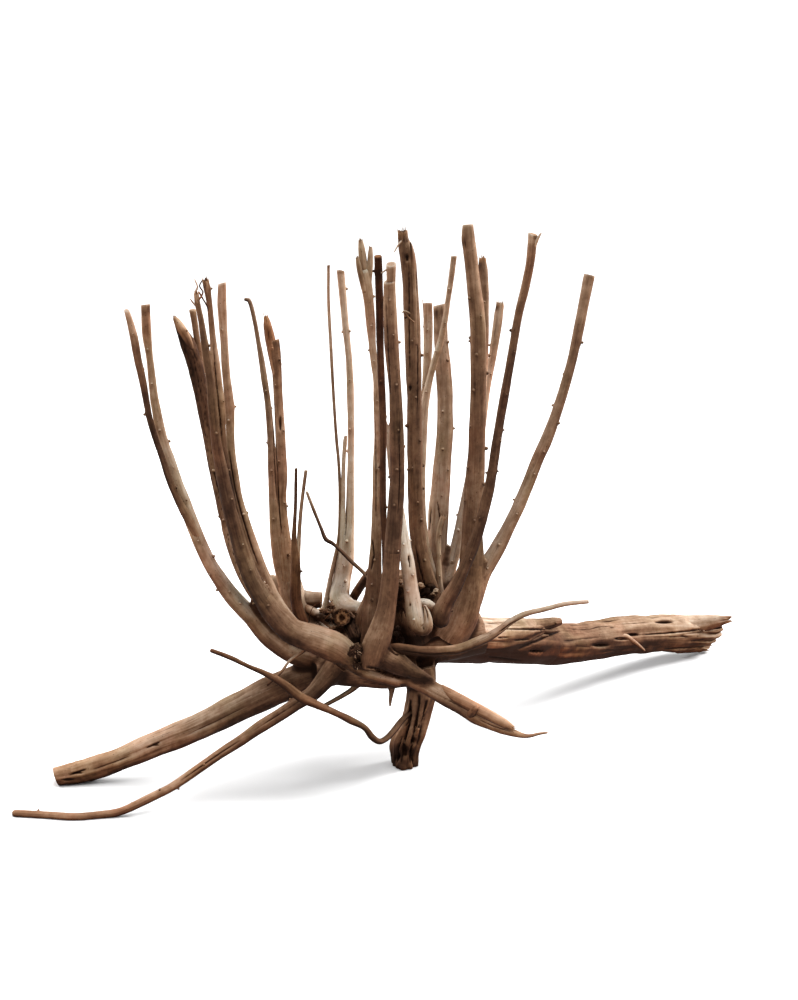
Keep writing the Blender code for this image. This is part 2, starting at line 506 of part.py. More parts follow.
def splinters(name, path, rng):
    """The long splinters left where a stem was torn off."""
    end = path[-1]
    inner = path[-min(KNOBS_OFF_TIP, len(path))]
    along = (place_of(end) - place_of(inner)).normalized()
    side = along.orthogonal().normalized()
    made = []
    for i in range(SPLINTERS):
        out = Matrix.Rotation(math.tau * (i + rng.random() * 0.5) / SPLINTERS, 3, along) @ side
        foot = place_of(end) + (out * SPLINTER_FOOT_OUT - along * SPLINTER_SUNK) * end.w
        length = SPLINTER_LENGTH + LONG_SPLINTER_MORE * rng.random() * (i == 0)
        tip = place_of(end) + (out * SPLINTER_TIP_OUT + along * length) * end.w
        thick = max(end.w * SPLINTER_THICK, THINNEST_SPLINTER * MM)
        made.append(spike(f"{name}_splinter_{i}", foot, tip, thick, SPLINTER_SIDES))
    return made


def knobs(name, path, rng):
    """Bud knobs dotted up a stem, each a golden turn round from the last."""
    made = []
    wait, turn = rng.uniform(0.6, 1.2) * KNOB_EVERY, rng.uniform(0, math.tau)
    for here, ahead in zip(path, path[1:]):
        wait -= (place_of(ahead) - place_of(here)).length / MM
        if wait > 0 or here.w * 2 < THINNEST_WITH_KNOBS * MM:
            continue
        along = (place_of(ahead) - place_of(here)).normalized()
        turn += GOLDEN_TURN + rng.uniform(-0.3, 0.3)
        out = Matrix.Rotation(turn, 3, along) @ along.orthogonal().normalized()
        size = rng.uniform(0.8, 1.15)
        foot = place_of(here) + out * (here.w - KNOB_SUNK * MM)
        crest = place_of(here) + out * (here.w + KNOB_HEIGHT * size * MM)
        knob = spike(f"{name}_knob_{len(made)}", foot, crest, KNOB_WIDTH * size * MM / 2, KNOB_SIDES)
        made.append(knob)
        wait = KNOB_EVERY * rng.uniform(0.75, 1.25)
    return made


def grow_limb(name, ending, stations, rng):
    """All the pieces of one limb: its tube, the splinters of a torn tip and its bud knobs."""
    path = smooth_path(stations)
    rings = pick_rings(path)
    if ending == "worn":
        rings = round_off(rings)
    limb = tube(name, rings)
    weather(limb, path)
    made = [limb]
    if ending == "torn":
        made += splinters(name, path, rng)
    if name not in BARE:
        made += knobs(name, path[KNOBS_OFF_ROOT:-KNOBS_OFF_TIP], rng)
    return made


def wood():
    """Bare weathered wood."""
    material = bpy.data.materials.new("bare_wood")
    material.use_nodes = True
    shader = material.node_tree.nodes["Principled BSDF"]
    shader.inputs["Base Color"].default_value = WOOD_COLOUR
    shader.inputs["Roughness"].default_value = WOOD_ROUGHNESS
    shader.inputs["Metallic"].default_value = 0.0
    return material


def ground_cutter(cutters):
    """A slab under the stump. What reaches into it is cut level, so that the stump lies on flat spots."""
    bpy.ops.mesh.primitive_cube_add(size=1.0, location=(0, 0.1, -0.1))
    slab = bpy.context.active_object
    slab.name = "ground_cutter"
    slab.scale = (1.2, 1.2, 0.2)
    for collection in slab.users_collection:
        collection.objects.unlink(slab)
    cutters.objects.link(slab)
    slab.hide_render = True
    slab.display_type = "WIRE"
    return slab


def add_boolean(stump, name, operation):
    cut = stump.modifiers.new(name, "BOOLEAN")
    cut.operation = operation
    cut.solver = "MANIFOLD"
    return cut


def connected_skin(start, unseen):
    """Every vertex that edges join to the start, taken out of the unseen ones."""
    skin = [start]
    to_search = [start]
    while to_search:
        for edge in to_search.pop().link_edges:
            for vertex in edge.verts:
                if vertex in unseen:
                    unseen.remove(vertex)
                    to_search.append(vertex)
                    skin.append(vertex)
    return skin


def keep_outer_skin(mesh):
    """Fills the hollows that the joined limbs seal between them: only the largest connected skin stays."""
    bm = bmesh.new()
    bm.from_mesh(mesh)
    unseen = set(bm.verts)
    skins = []
    while unseen:
        skins.append(connected_skin(unseen.pop(), unseen))
    for skin in sorted(skins, key=len)[:-1]:
        bmesh.ops.delete(bm, geom=skin, context="VERTS")
    bm.to_mesh(mesh)
    bm.free()


def build():
    for thing in list(bpy.data.objects):
        bpy.data.objects.remove(thing)
    scene = bpy.context.scene.collection
    parts = bpy.data.collections.new("driftwood_stump")
    limbs = bpy.data.collections.new("limbs")
    cutters = bpy.data.collections.new("cutters")
    for collection in (parts, limbs, cutters):
        scene.children.link(collection)

    rng = random.Random(SEED)
    grown = []
    for name, (ending, stations) in LIMBS.items():
        grown += grow_limb(name, ending, stations, rng)
    stump = grown[0]
    parts.objects.link(stump)
    for piece in grown[1:]:
        limbs.objects.link(piece)

    join = add_boolean(stump, "join_limbs", "UNION")
    join.operand_type = "COLLECTION"
    join.collection = limbs
    level = add_boolean(stump, "level_ground", "DIFFERENCE")
    level.object = ground_cutter(cutters)

    depsgraph = bpy.context.evaluated_depsgraph_get()
    mesh = bpy.data.meshes.new_from_object(stump.evaluated_get(depsgraph))
    stump.modifiers.clear()
    keep_outer_skin(mesh)
    stump.data = mesh
    stump.name = "driftwood_stump"
    mesh.name = "driftwood_stump"
    for piece in list(limbs.objects):
        bpy.data.objects.remove(piece)
    bpy.data.collections.remove(limbs)
    mesh.materials.clear()
    mesh.materials.append(wood())
    mesh.shade_smooth()
    mesh.set_sharp_from_angle(angle=SHARP_FROM)


build()
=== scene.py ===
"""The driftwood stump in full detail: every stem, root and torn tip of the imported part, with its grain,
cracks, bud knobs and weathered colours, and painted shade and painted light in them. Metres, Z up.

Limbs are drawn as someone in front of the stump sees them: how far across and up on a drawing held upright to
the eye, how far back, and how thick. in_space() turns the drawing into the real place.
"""

import math
import random

import bmesh
import bpy
import numpy as np
from mathutils import Matrix, Vector, noise
from mathutils.bvhtree import BVHTree
from mathutils.kdtree import KDTree


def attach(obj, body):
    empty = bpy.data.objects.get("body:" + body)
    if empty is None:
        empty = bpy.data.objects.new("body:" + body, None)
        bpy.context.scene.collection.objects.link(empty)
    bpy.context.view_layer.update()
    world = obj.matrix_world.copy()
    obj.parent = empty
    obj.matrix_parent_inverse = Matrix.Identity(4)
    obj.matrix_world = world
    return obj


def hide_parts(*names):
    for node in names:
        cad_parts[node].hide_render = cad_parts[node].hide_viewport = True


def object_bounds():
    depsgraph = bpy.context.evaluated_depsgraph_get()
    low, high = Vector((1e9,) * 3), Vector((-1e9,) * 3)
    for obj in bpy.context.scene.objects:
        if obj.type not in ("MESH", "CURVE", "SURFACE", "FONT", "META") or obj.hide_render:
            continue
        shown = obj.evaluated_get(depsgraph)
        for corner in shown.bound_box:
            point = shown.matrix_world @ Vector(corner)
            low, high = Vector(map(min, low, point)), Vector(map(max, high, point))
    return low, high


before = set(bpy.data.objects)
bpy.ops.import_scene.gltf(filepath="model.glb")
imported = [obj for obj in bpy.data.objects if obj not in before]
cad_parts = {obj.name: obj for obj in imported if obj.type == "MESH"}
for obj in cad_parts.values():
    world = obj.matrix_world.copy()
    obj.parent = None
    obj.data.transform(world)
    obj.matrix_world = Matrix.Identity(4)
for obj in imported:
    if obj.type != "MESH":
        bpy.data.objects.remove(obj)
CAD_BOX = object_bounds()

MM = 0.001
SEED = 41

# The eye that the drawing was made for, and the spot on the drawing that it looks at, seen from the sole
EYE_DISTANCE = 1600.0
EYE_DIP = math.radians(17.0)
SIGHT_ACROSS = -6.5
SIGHT_UP = 263.5

# Each limb from its root to its tip. First its tone at its root, middle and tip (0 dark, 1 bleached), and how
# warm its colour is there (-1 grey, 0 plain, 1 or more reddish). Then its ending. Then its stations in
# millimetres on the drawing: across and up from the sole, how far back from it, and how thick the limb is.
LIMBS = {
    "crown": ([(0.5, 0.5, 0.44), (-0.04, 0.06, -0.35)], "worn", [
        (-83.5, 107.5, 14, 30), (-55.5, 111.5, 22, 48), (-17.5, 115.5, 26, 58), (19.5, 121.5, 26, 46),
        (49.5, 126.5, 26, 44), (76.5, 131.5, 34, 42)
    ]),
    "outer_left": ([(0.38, 0.78, 0.6), (-0.35, -0.25, -0.05)], "sawn", [
        (-60.5, 101.5, 12, 30), (-93.5, 105.5, 0, 25), (-118.5, 113.5, -14, 21), (-140, 129.5, -20, 19),
        (-155, 147.5, -22, 17), (-170.5, 164, -22, 17), (-185.5, 184.5, -22, 15),
        (-197.5, 203.5, -22.5, 14), (-214.5, 243.5, -21, 13.5), (-221.5, 263.5, -19.5, 12),
        (-229, 283.5, -18, 11), (-235.5, 303.5, -16.5, 10.5), (-242.5, 323.5, -15, 9.4),
        (-251, 363.5, -12.5, 8.8), (-255.5, 403.5, -10.5, 7.4), (-258.5, 428.5, -9.6, 9.2),
        (-260, 459, -7.8, 9.2)
    ]),
    "outer_left_twin": ([(0.77, 0.21, 0.74), (0.15, -0.09, -0.35)], "sawn", [
        (-196.5, 206.5, -19, 8), (-202.5, 218.5, -21.5, 8.6), (-215.5, 241.5, -26.5, 9),
        (-227.5, 263.5, -28.5, 7.2), (-236, 283.5, -28, 7), (-242.5, 303.5, -27.5, 6.3),
        (-249.5, 323.5, -28, 6), (-255.5, 343.5, -28.5, 6.4), (-263, 383.5, -31, 7.6),
        (-267.5, 403.5, -32.5, 8), (-271, 423.5, -34.5, 8.2), (-276, 443.5, -36, 6.4),
        (-279, 453.5, -37.5, 5.2)
    ]),
    "torn_left": ([(0.78, 0.49, 0.15), (-0.35, -0.22, 0.22)], "torn", [
        (-113.5, 123.5, -20, 10), (-129.5, 143.5, -22, 11.5), (-145.5, 162.5, -25, 12.5),
        (-159.5, 184.5, -24, 13), (-172, 215.5, -22, 13), (-179.5, 243.5, -20, 13),
        (-188, 283.5, -18, 13), (-195.5, 323.5, -16, 13.5), (-204, 368.5, -14, 14.5),
        (-211.5, 401.5, -12, 15), (-219, 422.5, -11, 14), (-225.5, 435.5, -11, 9), (-231, 447, -10, 4)
    ]),
    "torn_left_fork": ([(0.45, 0.46, 0.54), (-0.0, -0.0, -0.06)], "sawn", [
        (-193.5, 315.5, -12, 9), (-202.5, 378.5, -7, 8), (-206, 403.5, -5, 7), (-208.5, 423.5, -3, 6.2),
        (-211, 441.5, -2, 6.7), (-213, 454, -2, 7.2)
    ]),
    "front_left": ([(0.53, 0.38, 0.57), (-0.33, -0.35, -0.35)], "torn", [
        (-3.5, 81.5, -54, 11), (-25.5, 86.5, -53, 12.5), (-39.5, 91.5, -52, 13.5),
        (-50.5, 99.5, -51, 19), (-60.5, 109.5, -50, 27), (-72.5, 117, -50, 30.5),
        (-87.5, 123, -50, 29.5), (-96.5, 126, -50, 28.5), (-113.5, 132.5, -49, 26),
        (-128.5, 146.5, -48, 23.5), (-142.5, 165.5, -47, 20), (-153.5, 185.5, -47.5, 18),
        (-161, 203.5, -48.5, 17), (-167, 223.5, -50.5, 15.5), (-177.5, 263.5, -55.5, 14.5),
        (-182, 283.5, -58, 13), (-189.5, 323.5, -66, 10), (-193.5, 363.5, -73, 9),
        (-195.5, 385.5, -76.5, 8.2), (-200, 413.5, -81, 8), (-204.5, 443.5, -86, 6),
        (-208.5, 463.5, -90, 6), (-209, 471.5, -91, 5.6)
    ]),
    "front_left_second": ([(0.04, 0.72, 0.55), (-0.35, -0.2, -0.05)], "torn", [
        (-173.5, 258.5, -49, 10), (-179.5, 288.5, -53.5, 10.5), (-184, 323.5, -58, 10),
        (-185.5, 363.5, -62, 8.6), (-187.5, 383.5, -64.5, 8), (-190.5, 403.5, -66, 8.8),
        (-192.5, 423.5, -67.5, 6.6), (-196.5, 463.5, -72, 6.2), (-200, 483.5, -74.5, 8.4)
    ]),
    "front_left_third": ([(0.61, 0.62, 0.77), (0.08, -0.32, -0.35)], "sawn", [
        (-111.5, 133.5, -42, 20), (-129.5, 159.5, -40, 16.5), (-140.5, 183.5, -38.5, 14),
        (-148, 203.5, -39.5, 12.5), (-161, 243.5, -42, 10), (-167, 263.5, -43.5, 9.5),
        (-170.5, 283.5, -45, 9.3), (-174.5, 313.5, -48, 8.4), (-176, 358.5, -52.5, 9.3),
        (-179.5, 391.5, -55.5, 8.2), (-181.5, 423.5, -58.5, 8), (-183.5, 458.5, -62, 9.3),
        (-183.5, 480.5, -65, 8.6)
    ]),
    "left_back": ([(0.71, 0.63, 0.39), (0.21, 0.12, 0.26)], "sawn", [
        (-89.5, 125.5, 8, 32), (-107.5, 155.5, 12, 27), (-115.5, 178.5, 14.5, 24),
        (-120.5, 203.5, 16, 21), (-123, 228.5, 18.5, 15), (-125, 263.5, 22.5, 12),
        (-124.5, 283.5, 25, 12.5), (-125, 323.5, 32.5, 10.5), (-127, 363.5, 41, 9.4),
        (-128.5, 391.5, 48, 10), (-130.5, 411.5, 53, 11.5), (-132, 422.5, 55.5, 11.5)
    ]),
    "left_back_hook": ([(0.72, 0.49, 0.38), (-0.05, -0.35, -0.35)], "worn", [
        (-120.5, 178.5, 12.5, 14), (-126, 203.5, 13, 13.5), (-129.5, 228.5, 14.5, 12),
        (-132, 263.5, 17.5, 9.8), (-133, 293.5, 21, 9), (-134.5, 323.5, 25.5, 7.8),
        (-138, 363.5, 32, 6.4), (-141, 383.5, 35, 6.7), (-144, 403.5, 39, 5.8), (-147.5, 423.5, 42, 4.5),
        (-151, 443.5, 45.5, 4.5), (-155, 459.5, 49, 4.4), (-157, 463.5, 50, 4.2), (-161.5, 464, 51, 3.2)
    ]),
    "dark_twig": ([(0.1, 0.41, 0.32), (1.0, 0.52, -0.34)], "sawn", [
        (-89.5, 115.5, -38, 15), (-98.5, 129.5, -22, 14), (-109, 160.5, -13, 11.5),
        (-110, 185.5, -11, 10.5), (-110, 203.5, -10, 9), (-111.5, 223.5, -9, 5.4),
        (-110, 258.5, -8, 3.6), (-109.5, 295.5, -7, 3.2)
    ]),
    "dark_twig_fork": ([(0.78, 0.5, 0.59), (-0.35, -0.35, -0.35)], "sawn", [
        (-108.5, 197.5, -9, 6), (-107, 218.5, -6, 4.8), (-104.5, 253.5, -4, 3.8),
        (-101.5, 278.5, -3, 3.6), (-99.5, 293.5, -2, 3.6)
    ]),
    "broken_arm": ([(0.5, 0.78, 0.43), (0.1, -0.35, -0.28)], "sawn", [
        (-138.5, 186, 26, 11), (-129.5, 180, 24, 14.5), (-110.5, 168, 18, 17.5), (-97.5, 164, 14, 17.5),
        (-84, 163.5, 10, 16.5)
    ]),
    "slanting_twig": ([(0.43, 0.1, 0.78), (-0.35, -0.35, -0.35)], "point", [
        (-33.5, 181.5, -5.8, 5), (-40.5, 189.5, 4.3, 4.2), (-53.5, 201.5, 13.5, 4),
        (-65.5, 213.5, 20, 3.8), (-73.5, 220.5, 23, 4), (-79.5, 224, 25, 4.6), (-84.5, 235.5, 28.5, 3.6),
        (-94.5, 260.5, 33.5, 3.4), (-99, 272.5, 34.5, 3)
    ]),
    "short_arm": ([(0.42, 0.5, 0.5), (-0.35, -0.35, -0.35)], "worn", [
        (-64.5, 137.5, 46, 11), (-55.5, 157.5, 46, 9.8), (-51.5, 166.5, 42, 9.4), (-45.5, 176.5, 30, 9),
        (-39.5, 185.5, 12, 9), (-31.5, 197.5, -8, 8)
    ]),
    "bleached": ([(0.92, 0.76, 0.66), (-0.35, -0.35, -0.35)], "sawn", [
        (-44, 154.5, 10, 14), (-57.5, 155.5, 21, 19.5), (-66, 165.5, 33, 20.5), (-64, 183.5, 40.5, 18),
        (-60.5, 203.5, 44.5, 17), (-58.5, 223.5, 47.5, 14), (-56, 243.5, 51, 9.6), (-55, 283.5, 57, 7.8),
        (-54.5, 323.5, 65, 6.6), (-55, 363.5, 72, 7.4), (-56.5, 403.5, 81, 6.6), (-60.5, 443.5, 90, 7),
        (-65, 492.5, 101, 7.8)
    ]),
    "bleached_wand": ([(0.72, 0.44, 0.61), (-0.35, -0.35, -0.17)], "sawn", [
        (-83.5, 141.5, 28, 9), (-79, 163.5, 33, 6), (-75.5, 183.5, 37.5, 4.7), (-71, 203.5, 41.5, 4.3),
        (-67, 223.5, 44.5, 3.6), (-65.5, 263.5, 51.5, 3.4), (-67, 303.5, 58, 3.4), (-69, 323.5, 62, 3.3),
        (-72, 368.5, 69.5, 3.3), (-75, 423.5, 80.5, 3.2), (-77, 463.5, 89, 3.1), (-77, 498.5, 96, 3)
    ]),
    "bleached_splinter": ([(0.92, 0.83, 0.75), (-0.35, -0.35, -0.35)], "torn", [
        (-62.5, 201.5, 41.5, 10), (-63.5, 223.5, 45.5, 7.4), (-62.5, 263.5, 51.5, 4.8),
        (-62, 298.5, 56.5, 4.2), (-60, 327.5, 60, 4.2)
    ]),
    "sawn_stub": ([(0.47, 0.46, 0.27), (0.32, 0.31, -0.35)], "stub", [
        (-53.5, 138.5, 16, 15), (-58.5, 142.5, 2, 18), (-64, 146, -15, 19)
    ]),
    "bark_lump": ([(-0.05, 0.03, 0.03), (-0.35, -0.35, -0.35)], "worn", [
        (-60.5, 145.5, 4, 10), (-53.5, 134.5, -14, 14), (-48.5, 122.5, -28, 13)
    ]),
    "forked": ([(0.31, 0.71, 0.71), (-0.18, -0.35, -0.35)], "worn", [
        (-35.5, 113.5, -28, 20), (-35.5, 143.5, -24, 17), (-33.5, 163.5, -20, 16),
        (-31.5, 183.5, -18, 15), (-30.5, 203.5, -17, 13), (-29.5, 223.5, -16.5, 11),
        (-29, 263.5, -16, 8.6), (-29, 303.5, -15.5, 7.2), (-28.5, 323.5, -15.5, 5.8),
        (-29, 363.5, -15, 6.1), (-29, 383.5, -15.5, 6.6), (-31.5, 403.5, -15, 7.2),
        (-33.5, 423.5, -15, 7.9), (-35, 443.5, -14.5, 9.2), (-37, 463.5, -15, 10),
        (-39.5, 481.5, -14.5, 11.5), (-41, 495.5, -14.5, 9.5)
    ]),
    "dark_wand": ([(0.25, 0.37, 0.25), (0.21, 0.24, 0.91)], "sawn", [
        (-16.5, 161.5, -46, 9), (-19.5, 191.5, -38.5, 7.4), (-21, 223.5, -35, 5.8),
        (-22.5, 263.5, -34.5, 6.6), (-22.5, 303.5, -35, 6.7), (-22.5, 343.5, -36.5, 7.3),
        (-24, 383.5, -38.5, 7.1), (-25.5, 423.5, -40.5, 7.6), (-26, 463.5, -43, 7.9),
        (-27.5, 507.5, -45.5, 7.8)
    ]),
    "middle_front": ([(0.47, 0.38, 0.64), (-0.35, -0.35, -0.35)], "sawn", [
        (-35, 95.5, -61, 22), (-34, 103.5, -61.5, 23.5), (-31.5, 113.5, -62, 26.5),
        (-28, 123.5, -62, 27), (-24.5, 133.5, -61, 24.5), (-20.5, 147.5, -59, 21),
        (-17.5, 165.5, -57, 19.5), (-14, 201.5, -55.5, 17), (-11, 241.5, -54.5, 16),
        (-8.2, 283.5, -56, 15), (-8.8, 333.5, -60, 14), (-10.5, 378.5, -64, 12.5),
        (-14, 418.5, -68, 14.5), (-15.5, 458.5, -72, 13.5), (-16, 482.5, -75.5, 12)
    ]),
    "dark_middle": ([(0.43, 0.51, 0.5), (-0.03, -0.35, -0.35)], "torn", [
        (31.5, 141.5, 14, 28), (27.5, 159.5, 10, 25), (22, 178.5, 8, 20.5), (16, 203.5, 5.8, 17.5),
        (11.5, 233.5, 4.6, 16), (10, 263.5, 3.2, 15.5), (9.2, 313.5, 1.6, 15), (8.9, 363.5, -0.2, 15),
        (7.9, 403.5, -1.8, 16), (6.3, 443.5, -3.6, 16), (4.5, 478.5, -5.3, 15.5),
        (2.3, 505.5, -6.8, 15.5), (0.1, 516.5, -7.4, 14.5), (-1.9, 522.5, -8, 12),
        (-2.9, 532.5, -9, 12.5)
    ]),
    "middle_back": ([(0.31, 0.73, 0.66), (-0.35, -0.35, -0.35)], "sawn", [
        (16.5, 323.5, 31.5, 8), (19, 358.5, 34.5, 8), (21, 388.5, 37, 7.8), (22.5, 418.5, 40.5, 9.2),
        (22.5, 460.5, 45.5, 9)
    ]),
    "leaning_wand": ([(0.75, 0.78, 0.63), (-0.11, -0.35, -0.35)], "sawn", [
        (26.5, 183.5, 17.5, 13), (19.5, 216.5, 19.5, 10.5), (15.5, 263.5, 22, 9.2), (16.5, 313.5, 25, 9),
        (19, 355.5, 28, 8.4), (24, 383.5, 29.5, 6.8), (29.5, 403.5, 30, 6.7), (35.5, 423.5, 31, 6.9),
        (39.5, 443.5, 32, 6), (42.5, 463.5, 34, 5.3), (45.5, 483.5, 36, 5.6), (48.5, 507.5, 38.5, 6)
    ]),
    "broad_back": ([(0.78, 0.6, 0.5), (-0.35, -0.35, -0.35)], "sawn", [
        (41.5, 141.5, 22, 28), (35.5, 163.5, 24, 25), (31.5, 193.5, 30, 20.5), (31.5, 223.5, 36, 20.5),
        (33, 248.5, 41.5, 21), (34.5, 268.5, 45.5, 20), (36.5, 296.5, 51.5, 18), (39, 328.5, 58.5, 16.5),
        (39.5, 363.5, 66.5, 15.5), (38, 393.5, 73, 15.5), (35.5, 423.5, 80, 14), (34.5, 459, 89, 14)
    ]),
    "broken_twig": ([(0.65, 0.67, 0.61), (-0.35, -0.16, -0.28)], "torn", [
        (35.5, 165.5, 8, 8), (33.5, 183.5, 11, 6.6), (33, 203.5, 15, 5.6), (33, 223.5, 21, 5.4),
        (34.5, 235.5, 25, 5.6), (38, 247.5, 28, 7)
    ]),
    "pale_back": ([(0.78, 0.78, 0.5), (-0.35, -0.35, -0.35)], "torn", [
        (41.5, 163.5, 20, 15), (44.5, 190.5, 26.5, 11.5), (50.5, 215.5, 32, 12), (58.5, 251.5, 38.5, 12),
        (66.5, 293.5, 45, 11), (73.5, 343.5, 51, 10.5), (77.5, 403.5, 58, 10), (78.5, 463.5, 65, 10),
        (77, 505.5, 70, 9.2)
    ]),
    "right_back": ([(0.46, 0.67, 0.58), (-0.35, -0.35, -0.35)], "torn", [
        (57.5, 147.5, 28, 13), (58.5, 173.5, 35, 11), (61.5, 213.5, 45.5, 10), (68.5, 273.5, 59, 9.4),
        (75.5, 333.5, 71, 8.8), (81.5, 378.5, 80.5, 8.3), (87, 406.5, 87, 7.8), (91.5, 435.5, 93.5, 9),
        (94.5, 460, 98.5, 10)
    ]),
    "tallest": ([(0.51, 0.47, 0.65), (-0.35, -0.35, -0.35)], "sawn", [
        (42.5, 129.5, 12, 40), (53.5, 146.5, 8, 37), (61.5, 171.5, 6, 31), (66, 201.5, 6.2, 24.5),
        (67, 233.5, 6.4, 21.5), (68.5, 268.5, 6.8, 20), (71, 313.5, 7.4, 17.5), (72.5, 363.5, 7.2, 16),
        (73, 408.5, 6.9, 16), (71.5, 448.5, 6.7, 15.5), (68, 480.5, 6.3, 14), (65, 508.5, 5.9, 13.5),
        (62.5, 526.5, 5, 13.5), (62.5, 539, 5, 11)
    ]),
    "outer_right": ([(0.71, 0.56, 0.52), (-0.35, -0.35, -0.35)], "sawn", [
        (54.5, 145.5, 8, 30), (65.5, 166.5, 9, 25), (76.5, 190.5, 11.5, 18.5), (89, 210.5, 12.5, 15.5),
        (97.5, 225.5, 14, 14), (106.5, 243.5, 15.5, 13.5), (116, 263.5, 17.5, 13), (132, 303.5, 20, 12),
        (141, 323.5, 21.5, 12), (155, 363.5, 24.5, 10.5), (166.5, 403.5, 27.5, 9.9),
        (175, 443.5, 30.5, 10.5), (184, 488.5, 34.5, 11)
    ]),
    "right_front": ([(0.36, 0.39, 0.58), (-0.1, -0.35, -0.35)], "sawn", [
        (36.5, 136.5, -24, 14), (35.5, 143.5, -25, 17), (36, 151.5, -25, 18.5), (41, 162.5, -24, 16),
        (49.5, 176.5, -23, 13.5), (58, 194.5, -23, 12), (66.5, 214.5, -22.5, 12), (74.5, 238.5, -24, 11),
        (81, 262.5, -26.5, 11), (87, 293.5, -31, 10), (93, 333.5, -37, 9.2), (100, 373.5, -44, 8.8),
        (107, 413.5, -51, 8.6), (113, 448.5, -58, 8.4), (120, 477.5, -63.5, 8.8),
        (125, 503.5, -68.5, 8.5), (127.5, 529.5, -71, 9.3)
    ]),
    "whitish": ([(0.69, 0.92, 0.8), (-0.35, -0.35, -0.35)], "torn", [
        (19, 158.5, -38, 2.6), (21, 152.5, -38, 5.5), (22.5, 143.5, -37.5, 9), (20, 135, -36, 13.5),
        (13.5, 137.5, -35, 17), (10, 147.5, -35, 17.5), (7.3, 163.5, -34, 16), (4.5, 183.5, -32, 14.5),
        (1.8, 203.5, -31, 14), (-2, 223.5, -30, 12.5), (-6, 248.5, -29, 11), (-10.5, 278.5, -28, 9.5),
        (-14.5, 308.5, -27, 8), (-16.5, 339.5, -26, 6)
    ]),
    "log": ([(0.05, 0.3, 0.55), (0.4, -0.35, -0.35)], "torn", [
        (32.5, 123.5, 26, 44), (74.5, 122.5, 72, 44), (114.5, 120.5, 115, 42), (154.5, 119.5, 162, 39.5),
        (194.5, 124.5, 203, 38.5), (234.5, 129.5, 243, 37), (274.5, 130, 277, 36.5),
        (296.5, 129.5, 290, 35), (302.5, 130.5, 294, 32)
    ]),
    "log_plank": ([(0.69, 0.62, 0.35), (-0.35, -0.35, -0.35)], "worn", [
        (42.5, 129.5, 10, 30), (74.5, 130, 54, 33), (99.5, 130, 86, 32), (114.5, 131.5, 102, 28),
        (126.5, 134, 114, 20), (137.5, 135.5, 125, 12)
    ]),
    "log_twig": ([(0.23, 0.48, 0.5), (-0.35, -0.35, -0.35)], "point", [
        (184.5, 120.5, 182, 8), (202.5, 123.5, 192, 7), (217.5, 127.5, 203, 6.5),
        (228.5, 121.5, 207, 4.5), (239.5, 112.5, 209, 2)
    ]),
    "whip_root": ([(0.16, 0.51, 0.67), (0.62, -0.33, -0.35)], "sawn", [
        (-25.5, 108.5, -48, 14), (-10.5, 114.5, -58, 11.5), (14.5, 112.5, -62, 10),
        (34.5, 112.5, -62, 10), (54.5, 115, -60, 9.8), (71.5, 121.5, -57, 9.6), (84.5, 127.5, -54, 9),
        (95.5, 134.5, -51, 7.6), (106.5, 143, -48, 6.6), (119.5, 149.5, -45, 6),
        (139.5, 154.5, -41, 5.4), (159.5, 159.5, -38, 5), (183.5, 162, -35, 4)
    ]),
    "lower_right_root": ([(0.52, 0.5, 0.6), (0.74, 0.63, 0.75)], "point", [
        (-33.5, 99.5, -20, 34), (-15.5, 95.5, -34, 28), (-3.5, 91.5, -45, 23), (8.5, 85, -54, 19.5),
        (22.5, 76.5, -61, 17.5), (39.5, 66.5, -70, 18.5), (54.5, 57.5, -77, 16), (69.5, 47, -84, 14.5),
        (84.5, 39.5, -91, 12), (95.5, 34.5, -96, 9.6), (106.5, 31, -101, 8), (121.5, 27.5, -107, 4.6),
        (134.5, 30, -112, 3), (142.5, 31, -115, 2.2)
    ]),
    "foot": ([(0.41, 0.51, 0.22), (1.0, 0.68, -0.35)], "ground", [
        (13.5, 99.5, 6, 32), (17, 75.5, 3, 29), (13, 53.5, 1, 27), (7, 35.5, 0, 26), (1, 21.5, -1, 27.5),
        (-1.5, 8.5, -1, 27.5), (-1, -11.5, -1, 24)
    ]),
    "thick_left_root": ([(0.23, 0.58, 0.46), (-0.24, -0.16, 0.57)], "sawn", [
        (-60.5, 101, 14, 40), (-100.5, 86, 2, 34), (-125.5, 76.5, -4, 32), (-165.5, 57, -12, 29.5),
        (-205.5, 37.5, -20, 27), (-245.5, 21, -27, 26), (-290.5, 2.5, -33, 23.5),
        (-325.5, -8.3, -36.5, 23), (-349.5, -13, -42, 18.5)
    ]),
    "thin_left_root": ([(0.22, 0.52, 0.39), (0.05, 0.43, 0.56)], "worn", [
        (-67.5, 98.5, -22, 24), (-81.5, 82.5, -30, 19.5), (-92.5, 70.5, -36, 16.5),
        (-105.5, 62, -42, 14.5), (-125.5, 49, -50, 13), (-145.5, 36.5, -58, 12.5),
        (-165.5, 22.5, -66, 11), (-185.5, 9.7, -74, 9.8), (-205.5, -4.3, -82, 9.4),
        (-235.5, -24.5, -94, 8.4), (-255.5, -34.5, -101, 8.6), (-285.5, -48, -108, 8.2),
        (-305.5, -51.5, -110.5, 8.2), (-330.5, -53.5, -114, 8.2), (-355.5, -52, -111, 7.8),
        (-381.5, -50.5, -108, 7.8), (-393.5, -49.5, -107, 6.8)
    ]),
    "crossing_root": ([(0.28, 0.41, 0.29), (-0.11, 0.37, 0.41)], "worn", [
        (11.5, 55.5, 3, 4), (2.5, 49, -6, 5), (-3, 44, -14, 5.8), (-10.5, 34.5, -28, 6.2),
        (-18.5, 25.5, -38, 6.2), (-26, 22, -45, 6), (-33.5, 26.5, -50, 6.7), (-40.5, 35.5, -54, 5.8),
        (-55.5, 43.5, -60, 7.6), (-67.5, 49.5, -64, 6.8), (-85.5, 57.5, -69, 8.2),
        (-103.5, 65.5, -73, 9.5), (-119.5, 77.5, -77, 8.6), (-130.5, 85, -80, 7.2),
